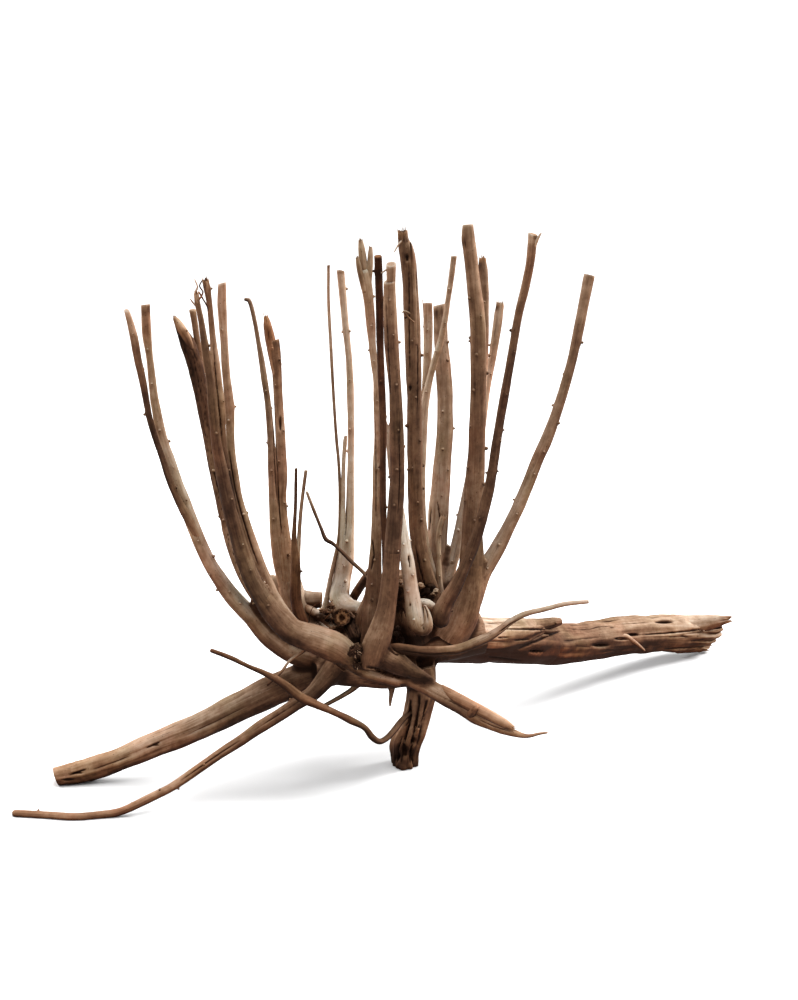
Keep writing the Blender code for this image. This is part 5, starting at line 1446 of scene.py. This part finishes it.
def fibre_mesh(name, limb, path, tone, fresh, rng):
    """One torn fibre or splinter of a limb."""
    mesh = sweep(name, path, HAIR_SIDES)
    skin = limb_skin(limb, with_runs(path, [(tone,) * 3, (PLAIN_WARMTH,) * 3]), mesh, HAIR_SIDES)
    skin.fresh += fresh
    skin.grain = skin.grain + rng.uniform(0, 1)
    save_skin(mesh, skin)
    return mesh


def fibres(name, skin, rng):
    """The fibres that stand on a torn tip."""
    made = []
    rim = np.where((~skin.in_cap) & (skin.grain[:, 2] > skin.end_run - 0.8 * MM))[0]
    count = max(5, int(skin.end_girth / MM * 1.6))
    for i in range(count):
        spot = int(rng.choice(list(rim)))
        along, out = skin.along[spot], skin.out[spot]
        length = min(skin.end_girth, LONGEST_FIBRE * MM) * rng.uniform(0.5, 1.5)
        thick = rng.uniform(0.22, 0.6) * MM
        flare = rng.uniform(-0.15, 0.45)
        side = np.cross(along, out) * rng.uniform(-0.25, 0.25)
        start = skin.place[spot] - along * length * 0.8 - out * thick * 0.5
        steps = np.linspace(0.0, 1.0, 6)
        spine = [start + along * (length * 1.8 * t) + (out * flare + side) * (length * t * t) for t in steps]
        path = np.hstack([np.array(spine), (thick * (1.05 - 0.9 * steps**1.5))[:, None]])
        fresh = FRESH.get(name, FRESH_OTHERS) * rng.uniform(0.5, 1.0)
        tone = skin.tone[spot] + rng.uniform(-0.1, 0.15)
        made.append(fibre_mesh(f"{name}_fibre_{i}", name, path, tone, fresh, rng))
    return made


def make_limb(name, rng):
    """A limb outside the crown, whole or from where it leaves the crown, as a list of meshes."""
    tones, ending, stations = LIMBS[name]
    path = smooth_path(stations, RING_STEP, tones)
    if name in FUSED:
        inside = in_crown(path)
        leaves = int(np.where(inside)[0][-1]) + 1
        path = path[max(leaves - len(STEM_ENTRY) + 1, 0):]
        path[:len(STEM_ENTRY), 3] *= STEM_ENTRY
    path = finish_tip(path, ending)
    if name in ROUND_ROOTS:
        path = finish_tip(path[::-1], "worn")[::-1]
    sides = sides_for(path)
    mesh = sweep(name, path, sides)
    radius = path[-1, 3]
    if ending == "torn":
        sink_cap(mesh, sides, [(radius * 0.3, radius * 0.5), (radius * 0.3, radius * 0.5)])
    elif ending == "sawn":
        sink_cap(mesh, sides, [(radius * 0.4, 0.1 * MM)])
    elif ending == "stub":
        sink_cap(mesh, sides, [(radius * share, sink * MM) for share, sink in STUB_STEPS])
    skin = limb_skin(name, path, mesh, sides)
    weather(skin, name)
    if ending == "torn":
        tear(skin, name, rng)
    elif ending == "sawn":
        slant(skin, rng)
        skin.fresh[skin.in_cap] = FRESH_SAWN
    elif ending == "stub":
        show_stub(skin)
    split(skin, np.where(skin.in_cap, 0.0, 1.0))
    bark(skin)
    carve(skin)
    stain_and_paint_light(skin)
    spots = []
    if name not in BARE:
        spots = drawn_knob_spots(skin, name) + ruled_knob_spots(skin, name, sides, rng)
        swell_round(skin, spots)
    save_skin(mesh, skin)
    made = [mesh]
    if spots:
        made.append(knob_mesh(name + "_knobs", skin, spots, rng))
    if ending == "torn":
        made += fibres(name, skin, rng)
    return made


def inner_limb(name):
    """The part of a limb that the crown takes in, swollen, and its skin as it would be unswollen."""
    tones, ending, stations = LIMBS[name]
    whole = smooth_path(stations, INNER_STEP, tones)
    inside = np.where(in_crown(whole))[0]
    path = whole[:inside[-1] + len(CROWN_EXIT)]
    sides = max(FEWEST_INNER_SIDES, sides_for(path) // 2 // 2 * 2)
    if len(path) < len(whole):
        path[-len(CROWN_EXIT):, 3] *= CROWN_EXIT
    mesh = sweep(name, path, sides)
    skin = limb_skin(name, path, mesh, sides)
    weather(skin, name)
    swollen = skin.place + skin.out * CROWN_SWELL * MM
    put_places(mesh, swollen)
    return mesh, skin


def soften(mesh, values, rounds):
    """Values at a mesh's vertices, each made the mean of its neighbours' again and again."""
    edges = np.empty(len(mesh.edges) * 2, dtype=np.int32)
    mesh.edges.foreach_get("vertices", edges)
    first, second = edges.reshape(-1, 2).T
    size = len(values)
    count = np.bincount(np.concatenate([first, second]), minlength=size).clip(1)
    for _ in range(rounds):
        sums = [
            np.bincount(first, column[second], size) + np.bincount(second, column[first], size)
            for column in values.T
        ]
        values = np.stack(sums, axis=1) / count[:, None]
    return values


def smooth(mesh, rounds):
    """Moves each vertex halfway to the middle of its neighbours, again and again."""
    bm = bmesh.new()
    bm.from_mesh(mesh)
    axes = {"use_axis_x": True, "use_axis_y": True, "use_axis_z": True}
    for _ in range(rounds):
        bmesh.ops.smooth_vert(bm, verts=bm.verts, factor=0.5, **axes)
    bm.to_mesh(mesh)
    bm.free()


def make_crown():
    """The crown: the inner ends of its limbs grown into one skin, with rounded inner corners."""
    inner = [inner_limb(name) for name in NAMES if name in FUSED]
    things = [place_object(f"inner_{i}", mesh) for i, (mesh, _) in enumerate(inner)]
    crown = join(things, "crown")
    remesh = crown.modifiers.new("grow_together", "REMESH")
    remesh.mode = "VOXEL"
    remesh.voxel_size = CROWN_VOXEL * MM
    depsgraph = bpy.context.evaluated_depsgraph_get()
    mesh = bpy.data.meshes.new_from_object(crown.evaluated_get(depsgraph))
    bpy.data.objects.remove(crown)
    smooth(mesh, SWOLLEN_ROUNDS)
    put_places(mesh, places_of(mesh) - normals_of(mesh) * CROWN_SWELL * MM)
    smooth(mesh, SHRUNK_ROUNDS)
    limbs = [skin for _, skin in inner]

    def gather(what):
        return np.concatenate([getattr(skin, what) for skin in limbs])

    tree = KDTree(len(gather("place")))
    for i, point in enumerate(gather("place").tolist()):
        tree.insert(point, i)
    tree.balance()
    mine = places_of(mesh)
    nearest = np.array([tree.find(point)[1] for point in mine.tolist()])
    off = mine - gather("heart")[nearest]
    frames = [gather(axis)[nearest] for axis in ("east", "north", "along")]
    grain = np.stack([np.sum(off * axis, axis=1) for axis in frames], axis=1)
    grain[:, 2] += gather("grain")[nearest, 2]
    girth, tone, owner = (gather(what)[nearest] for what in ("girth", "tone", "owner"))
    skin = Skin(mine, normals_of(mesh), grain, girth, tone, owner)
    split(skin)
    carve(skin)
    stain_and_paint_light(skin)
    keep = ramp(crown_oval(skin.place), *TOUCH_EDGE)
    for label in ("tone", "warmth"):
        own = getattr(skin, label)
        soft = soften(mesh, own[:, None], BLEND_ROUNDS)[:, 0]
        setattr(skin, label, soft + (own - soft) * keep)
    save_skin(mesh, skin)
    return mesh


def change_values(mesh, label, change, low=-math.inf, high=math.inf):
    """Adds to what the paint reads at each vertex of a finished mesh."""
    data = mesh.attributes[label].data
    values = np.clip(numbers(data, "value", 1)[:, 0] + change, low, high)
    data.foreach_set("value", values.astype(np.float32))


def shade_hollows(mesh):
    """Paints shade into the creases and dents of a finished mesh, and light onto its ridges."""
    place = places_of(mesh)
    sunk = np.sum((soften(mesh, place, DENT_ROUNDS) - place) * normals_of(mesh), axis=1) / MM
    change_values(mesh, "hollow", np.clip(sunk * DENT_SHADE, *DENT_LIMITS))


def shade_under(mesh, name):
    """Paints shade on what faces down, darker and warmer, and paler light on what faces up."""
    rise = normals_of(mesh)[:, 2]
    under = ramp(-rise, UNDER_FROM, UNDER_TO)
    # Painted shade underneath and painted light on top
    change_values(mesh, "tone", TOP_PALE * ramp(rise, TOP_FROM, TOP_TO) - UNDER_DARK * under)
    change_values(mesh, "warmth", UNDER_WARM.get(name, UNDER_WARM_OTHERS) * under)


def stay_in_box(mesh):
    """Cuts the mesh level with the ground and keeps stray fibres inside the part's box."""
    bm = bmesh.new()
    bm.from_mesh(mesh)
    if min(vertex.co.z for vertex in bm.verts) < 0.0:
        everything = bm.verts[:] + bm.edges[:] + bm.faces[:]
        bmesh.ops.bisect_plane(bm, geom=everything, plane_co=(0, 0, 0), plane_no=(0, 0, -1), clear_outer=True)
        bmesh.ops.holes_fill(bm, edges=[edge for edge in bm.edges if edge.is_boundary], sides=0)
        bmesh.ops.recalc_face_normals(bm, faces=bm.faces)
    bm.to_mesh(mesh)
    bm.free()
    low, high = (np.array(corner) for corner in CAD_BOX)
    put_places(mesh, np.clip(places_of(mesh), low, high))


def lump_mesh(name, middle, radius, tone, seed):
    """A pebble or a scrap of bark: a knobbly ball."""
    bm = bmesh.new()
    bmesh.ops.create_icosphere(bm, subdivisions=3, radius=radius * MM)
    mesh = bpy.data.meshes.new(name)
    bm.to_mesh(mesh)
    bm.free()
    ball = places_of(mesh)
    out = unit(ball)
    dents = sum(rough(out * times + seed) * size for times, size in LUMP_DENTS)
    place = ball * LUMP_STRETCH * (1 + dents[:, None]) + np.array(middle)
    girth, tones = (np.full(len(place), value) for value in (radius * MM, tone))
    skin = Skin(place, out, place.copy(), girth, tones, np.zeros(len(place), int))
    # Painted shade in the ball's dents
    skin.hollow += np.clip(-dents * 1.6 + 0.1, 0.0, 1.0)
    save_skin(mesh, skin)
    return mesh


def burr(name, middle, radius, rng):
    """A dark burr, bristling with the stubs of its bark."""
    made = [lump_mesh(name, middle, radius, 0.1, rng.uniform(0, 50))]
    toward = Vector(unit(-np.array(TO_SOLE)[None] * MM - np.array(middle))[0])
    across = toward.orthogonal().normalized()
    around = toward.cross(across)
    for i in range(BURR_BRISTLES):
        turn, lean = rng.uniform(0, math.tau), rng.uniform(0.0, 0.95) ** 0.6
        aside = across * math.cos(turn) + around * math.sin(turn)
        out = toward * math.sqrt(1 - lean * lean) + aside * lean
        start = Vector(middle) + out * radius * MM * 0.6
        length = radius * MM * rng.uniform(0.45, 0.75)
        curl = (across * rng.uniform(-1, 1) + around * rng.uniform(-1, 1)) * length * 0.5
        spine = [start + out * length * t + curl * t * t for t in (0.0, 0.35, 0.7, 1.0)]
        thick = radius * MM * rng.uniform(0.04, 0.08)
        path = np.array([(*point, thick * size) for point, size in zip(spine, (1.0, 1.1, 0.9, 0.3))])
        tone = rng.choice((0.1, 0.15, 0.3, 0.6))
        made.append(fibre_mesh(f"{name}_bristle_{i}", "crown", path, tone, 0.0, rng))
    return made


def blacken(mesh):
    """Dark painted shade in the depths among the limbs."""
    place = places_of(mesh)
    darkening = np.zeros(len(place))
    for across, up, back, half_sizes in CAVITIES:
        middle = np.array(in_space(across, up, back)[0])
        off = (place - middle) / (np.array(half_sizes)[[0, 2, 1]] * MM)
        darkening = np.maximum(darkening, np.exp(-np.sum(off * off, axis=1) ** 2))
    change_values(mesh, "hollow", CAVITY_SHADE * darkening, *HOLLOW_LIMITS)


def darken_touches(pieces):
    """Painted shade along the lines where one piece meets or passes close to another."""
    depsgraph = bpy.context.evaluated_depsgraph_get()
    trees = [BVHTree.FromObject(piece, depsgraph) for piece in pieces]
    reach = TOUCH_REACH * MM
    boxes = [(places_of(piece.data).min(axis=0), places_of(piece.data).max(axis=0)) for piece in pieces]
    for own, piece in enumerate(pieces):
        place = places_of(piece.data)
        oval = crown_oval(place)
        inside = oval < 1.0
        nearest = np.full(len(place), reach)
        for other, tree in enumerate(trees):
            low, high = boxes[other]
            close = inside & np.all((place > low - reach) & (place < high + reach), axis=1)
            if other == own or not close.any():
                continue
            for spot in np.where(close)[0]:
                gap = tree.find_nearest(place[spot], nearest[spot])[3]
                if gap is not None:
                    nearest[spot] = gap
        darkening = TOUCH_SHADE * (1 - nearest / reach) ** 1.3 * (1 - ramp(oval, *TOUCH_EDGE))
        change_values(piece.data, "hollow", darkening, *HOLLOW_LIMITS)


class Value:
    """A shader socket that plain sums can be written with."""

    def __init__(self, paint, socket):
        self.paint = paint
        self.socket = socket

    def maths(self, operation, first, second):
        return self.paint.node("ShaderNodeMath", {"operation": operation}, {0: first, 1: second})

    def __add__(self, other):
        return self.maths("ADD", self, other)

    def __radd__(self, other):
        return self.maths("ADD", other, self)

    def __sub__(self, other):
        return self.maths("SUBTRACT", self, other)

    def __rsub__(self, other):
        return self.maths("SUBTRACT", other, self)

    def __mul__(self, other):
        return self.maths("MULTIPLY", self, other)

    def __rmul__(self, other):
        return self.maths("MULTIPLY", other, self)

class Paint:
    """A material while its nodes are laid out."""

    def __init__(self, name):
        self.material = bpy.data.materials.new(name)
        self.material.use_nodes = True
        self.tree = self.material.node_tree
        self.shader = self.tree.nodes["Principled BSDF"]

    def node(self, kind, settings=None, sockets=None, output=0):
        """One new node with its settings, and values or other sockets on its inputs."""
        made = self.tree.nodes.new(kind)
        for setting, value in (settings or {}).items():
            if setting == "stops":
                stops = made.color_ramp.elements
                while len(stops) < len(value):
                    stops.new(1.0)
                for stop, (position, colour) in zip(stops, value):
                    stop.position = position
                    stop.color = (*colour, 1.0)
            else:
                setattr(made, setting, value)
        for key, value in (sockets or {}).items():
            self.fill(made.inputs[key], value)
        return Value(self, made.outputs[output])

    def fill(self, socket, value):
        if isinstance(value, Value):
            self.tree.links.new(value.socket, socket)
        else:
            socket.default_value = value

    def reading(self, label, output="Fac"):
        return self.node("ShaderNodeAttribute", {"attribute_name": label}, output=output)

    def stretch(self, vector, scale):
        return self.node("ShaderNodeVectorMath", {"operation": "MULTIPLY"}, {0: vector, 1: scale})

    def cloud(self, vector, detail=2.0, roughness=0.5, distortion=0.0):
        sockets = {"Scale": 1.0, "Detail": detail, "Roughness": roughness, "Distortion": distortion}
        return self.node("ShaderNodeTexNoise", None, {"Vector": vector, **sockets})

    def ease(self, value, low, high):
        settings = {"interpolation_type": "SMOOTHSTEP", "clamp": True}
        return self.node("ShaderNodeMapRange", settings, {"Value": value, "From Min": low, "From Max": high})

    def clamp(self, value):
        return self.node("ShaderNodeClamp", None, {"Value": value})

    def mix(self, factor, first, second, blend="MIX"):
        settings = {"data_type": "RGBA", "blend_type": blend, "clamp_factor": True}
        return self.node("ShaderNodeMix", settings, {0: factor, 6: first, 7: second}, output=2)

    def ramp(self, value, stops):
        return self.node("ShaderNodeValToRGB", {"stops": stops}, {"Fac": value})


# The wood's colour at each tone, from wet dark to bleached
WOOD_TONES = [
    (0.00, (0.016, 0.008, 0.005)),
    (0.15, (0.046, 0.022, 0.013)),
    (0.35, (0.130, 0.068, 0.038)),
    (0.50, (0.245, 0.145, 0.088)),
    (0.65, (0.380, 0.255, 0.172)),
    (0.85, (0.560, 0.445, 0.345)),
    (1.00, (0.680, 0.600, 0.510)),
]

# The casts that go over it, the dirt in pores, the dirt and painted shade in creases, and the fresh wood of
# torn and sawn ends
OLIVE = (0.84, 0.89, 0.80, 1.0)
PINK = (1.0, 0.88, 0.85, 1.0)
WARM = (1.0, 0.80, 0.68, 1.0)
REDDISH = (1.0, 0.72, 0.52, 1.0)
COOL = (0.68, 0.85, 1.0, 1.0)
DIRT_AND_SHADE = (0.020, 0.009, 0.005, 1.0)
GRIME_AND_SHADE = (0.20, 0.13, 0.10, 1.0)
FRESH_WOOD = [(0.25, (0.110, 0.045, 0.020)), (0.5, (0.270, 0.130, 0.058)), (0.8, (0.440, 0.270, 0.145))]

# The patterns: how many times a millimetre each repeats across and along the grain, or a metre in the body
FIBRE_TIMES = (0.85, 0.85, 0.03)
STREAK_TIMES = (0.36, 0.36, 0.013)
BAND_TIMES = (0.13, 0.13, 0.016)
DOT_TIMES = (0.30, 0.30, 0.17)
PATCH_TIMES = (19.0, 19.0, 19.0)
MOTTLE_TIMES = (120.0, 120.0, 100.0)
OLIVE_TIMES = (31.0, 31.0, 12.0)
PINK_TIMES = (23.0, 23.0, 17.0)

# How strongly each pattern changes the tone
FIBRE_SHADE = 0.24
STREAK_SHADE = 0.26
BAND_SHADE = 0.22
BLOTCH_SHADE = 0.34
HOLLOW_SHADE = 0.12

# How strongly the specks, the checks along the grain, the dirt and painted shade, and the casts cover the
# wood
SPECKS = 0.7
CHECKS = 0.45
SHADE_AND_DIRT_COVER = 0.92
GRIME_AND_SHADE_BLACK = 0.35
OLIVE_CAST = 0.7
PINK_CAST = 0.9


def wood_paint():
    """Bare washed wood: streaks and fibres along the grain, blotches, dirt and painted shade in hollows,
    fresh torn ends.
    """
    paint = Paint("washed_wood")
    grain = paint.stretch(paint.reading("grain", "Vector"), (1 / MM, 1 / MM, 1 / MM))
    body = paint.node("ShaderNodeTexCoord", output="Object")
    fibres = paint.cloud(paint.stretch(grain, FIBRE_TIMES), 3.0, 0.6)
    streaks = paint.cloud(paint.stretch(grain, STREAK_TIMES), 3.0, 0.55, 0.3)
    bands = paint.cloud(paint.stretch(grain, BAND_TIMES), 2.0, 0.5)
    patches = paint.cloud(paint.stretch(body, PATCH_TIMES), 2.0, 0.5)
    mottle = paint.cloud(paint.stretch(body, MOTTLE_TIMES), 3.0, 0.7)
    hollow = paint.reading("hollow")
    fresh = paint.reading("fresh")
    shade = (
        paint.reading("tone")
        + (streaks - 0.5) * STREAK_SHADE
        + (fibres - 0.5) * FIBRE_SHADE
        + (bands - 0.5) * BAND_SHADE
        + (patches - 0.5) * BLOTCH_SHADE
        + (mottle - 0.5) * BLOTCH_SHADE
        - hollow * HOLLOW_SHADE
    )
    colour = paint.ramp(shade, WOOD_TONES)
    for times, cover, cast in ((OLIVE_TIMES, OLIVE_CAST, OLIVE), (PINK_TIMES, PINK_CAST, PINK)):
        where = paint.ease(paint.cloud(paint.stretch(body, times), 2.0), 0.48, 0.68)
        colour = paint.mix(where * cover, colour, cast, "MULTIPLY")
    warmth = paint.reading("warmth")
    for share, cast in ((warmth, WARM), (warmth - 1.0, REDDISH), (warmth * -1.0, COOL)):
        colour = paint.mix(paint.clamp(share), colour, cast, "MULTIPLY")
    dots = paint.node(
        "ShaderNodeTexVoronoi", {"feature": "F1"},
        {"Vector": paint.stretch(grain, DOT_TIMES), "Scale": 1.0, "Randomness": 1.0}, output="Distance",
    )
    colour = paint.mix((1 - paint.ease(dots, 0.05, 0.16)) * SPECKS, colour, DIRT_AND_SHADE)
    checks = paint.cloud(paint.stretch(grain, FIBRE_TIMES), 2.0, 0.5, 0.2)
    colour = paint.mix(paint.ease(checks, 0.60, 0.72) * CHECKS, colour, DIRT_AND_SHADE)
    torn = paint.ramp(fibres * 0.6 + streaks * 0.4, FRESH_WOOD)
    colour = paint.mix(paint.clamp(fresh), colour, torn)
    # Dirt and painted shade darken the hollows
    darkening = paint.ease(hollow + (mottle - 0.5) * 0.5, 0.12, 0.95) * SHADE_AND_DIRT_COVER
    grime_and_shade = paint.mix(GRIME_AND_SHADE_BLACK, paint.mix(1.0, colour, GRIME_AND_SHADE, "MULTIPLY"), DIRT_AND_SHADE)
    colour = paint.mix(darkening, colour, grime_and_shade)
    paint.fill(paint.shader.inputs["Base Color"], colour)
    paint.fill(paint.shader.inputs["Roughness"], 0.62 + fibres * 0.3)
    height = fibres * 0.55 + streaks * 0.6 + mottle * 0.25
    bump = paint.node("ShaderNodeBump", None, {"Strength": 0.4, "Distance": 0.0006, "Height": height})
    paint.fill(paint.shader.inputs["Normal"], bump)
    paint.shader.inputs["Metallic"].default_value = 0.0
    paint.shader.inputs["Specular IOR Level"].default_value = 0.03
    return paint.material


# The floor's two greys, its radius and how far it lies under the sole. Then how it rises far off: the radius
# of each ring and its rise over the last.
FLOOR_PALE = (0.84, 0.84, 0.84, 1.0)
FLOOR_DARK = (0.81, 0.81, 0.81, 1.0)
FLOOR_RADIUS = 3.0
FLOOR_DROP = 0.0005
COVE = [(4.0, 0.02), (6.0, 0.1), (10.0, 0.4), (30.0, 3.0)]

# Each lamp: its place, the height it aims at, its size in degrees or metres, and its power. Then the sky's.
LAMPS = {
    "ceiling_light": ("SUN", (0.45, 0.15, 1.8), 0.0, 50.0, 4.6),
    "left_light": ("AREA", (-1.6, 0.9, 0.8), 0.25, 0.9, 40.0),
    "right_light": ("AREA", (1.7, 0.9, 0.9), 0.25, 0.9, 64.0),
}
SKY = 0.34

# The camera: its place, its tilt, and the height of its film and its lens in millimetres
CAMERA_PLACE = (-0.0065, -1.4530, 0.7198)
CAMERA_TILT = math.radians(73.0)
CAMERA_FILM = 36.0
CAMERA_LENS = 57.6


def floor_paint():
    """Even pale grey, hardly clouded."""
    paint = Paint("pale_floor")
    cloud = paint.cloud(paint.node("ShaderNodeTexCoord", output="Object"), 1.0)
    paint.fill(paint.shader.inputs["Base Color"], paint.mix(cloud * 0.2, FLOOR_PALE, FLOOR_DARK))
    paint.shader.inputs["Roughness"].default_value = 0.9
    return paint.material


def make_floor():
    """A wide floor that curves up far behind everything."""
    bm = bmesh.new()
    bmesh.ops.create_circle(bm, cap_ends=True, segments=96, radius=FLOOR_RADIUS)
    for radius, rise in COVE:
        rim = [edge for edge in bm.edges if edge.is_boundary]
        out = bmesh.ops.extrude_edge_only(bm, edges=rim)
        verts = [item for item in out["geom"] if isinstance(item, bmesh.types.BMVert)]
        grow = radius / max(vertex.co.xy.length for vertex in verts)
        bmesh.ops.scale(bm, verts=verts, vec=(grow, grow, 1.0))
        bmesh.ops.translate(bm, verts=verts, vec=(0.0, 0.0, rise))
    mesh = bpy.data.meshes.new("floor")
    bm.to_mesh(mesh)
    bm.free()
    mesh.materials.append(floor_paint())
    mesh.shade_smooth()
    floor = place_object("floor", mesh)
    floor.location.z = -FLOOR_DROP


def make_lamp(name, kind, place, aim, size, power):
    """A sun or a round lamp, pointed at a height over the sole."""
    light = bpy.data.lights.new(name, kind)
    light.energy = power
    if kind == "SUN":
        light.angle = math.radians(size)
    else:
        light.shape = "DISK"
        light.size = size
    lamp = bpy.data.objects.new(name, light)
    lamp.location = place
    lamp.rotation_euler = (Vector((0.0, 0.0, aim)) - Vector(place)).to_track_quat("-Z", "Y").to_euler()
    bpy.context.scene.collection.objects.link(lamp)


def make_stage():
    """The floor, the sky, the lamps and the camera."""
    make_floor()
    world = bpy.data.worlds.new("studio")
    bpy.context.scene.world = world
    world.use_nodes = True
    world.node_tree.nodes["Background"].inputs["Color"].default_value = (1.0, 1.0, 1.0, 1.0)
    world.node_tree.nodes["Background"].inputs["Strength"].default_value = SKY
    for name, settings in LAMPS.items():
        make_lamp(name, *settings)
    data = bpy.data.cameras.new("camera")
    data.sensor_fit = "VERTICAL"
    data.sensor_height = CAMERA_FILM
    data.lens = CAMERA_LENS
    camera = bpy.data.objects.new("camera", data)
    camera.location = CAMERA_PLACE
    camera.rotation_euler = (CAMERA_TILT, 0.0, 0.0)
    bpy.context.scene.collection.objects.link(camera)
    bpy.context.scene.camera = camera
    bpy.context.scene.view_settings.view_transform = "Standard"


# Edges that turn by more than this stay sharp
SHARP_FROM = math.radians(65)


def make_stump():
    """Every piece of the stump, painted, shaded and tied to the part."""
    wood = wood_paint()
    rng = random.Random(SEED)
    pieces = []
    for piece_name, limbs in PIECES.items():
        meshes = []
        for name in limbs:
            meshes += make_limb(name, rng)
        things = [place_object(mesh.name, mesh) for mesh in meshes]
        piece = join(things, piece_name) if len(things) > 1 else things[0]
        piece.name = piece_name
        pieces.append(piece)
    scraps = []
    for i, (across, up, back, radius, tone) in enumerate(PEBBLES):
        scraps.append(lump_mesh(f"pebble_{i}", in_space(across, up, back)[0], radius, tone, i * 3.7))
    for i, (across, up, back, radius) in enumerate(BURRS):
        scraps += burr(f"burr_{i}", in_space(across, up, back)[0], radius, rng)
    pieces.append(join([place_object(mesh.name, mesh) for mesh in scraps], "caught_scraps"))
    pieces.append(place_object("crown", make_crown()))
    for piece in pieces:
        mesh = piece.data
        mesh.name = piece.name
        mesh.materials.clear()
        mesh.materials.append(wood)
        mesh.shade_smooth()
        mesh.set_sharp_from_angle(angle=SHARP_FROM)
        shade_hollows(mesh)
        shade_under(mesh, piece.name)
        blacken(mesh)
        stay_in_box(mesh)
        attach(piece, "root")
        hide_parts("driftwood_stump")
    darken_touches(pieces)


make_stump()
make_stage()
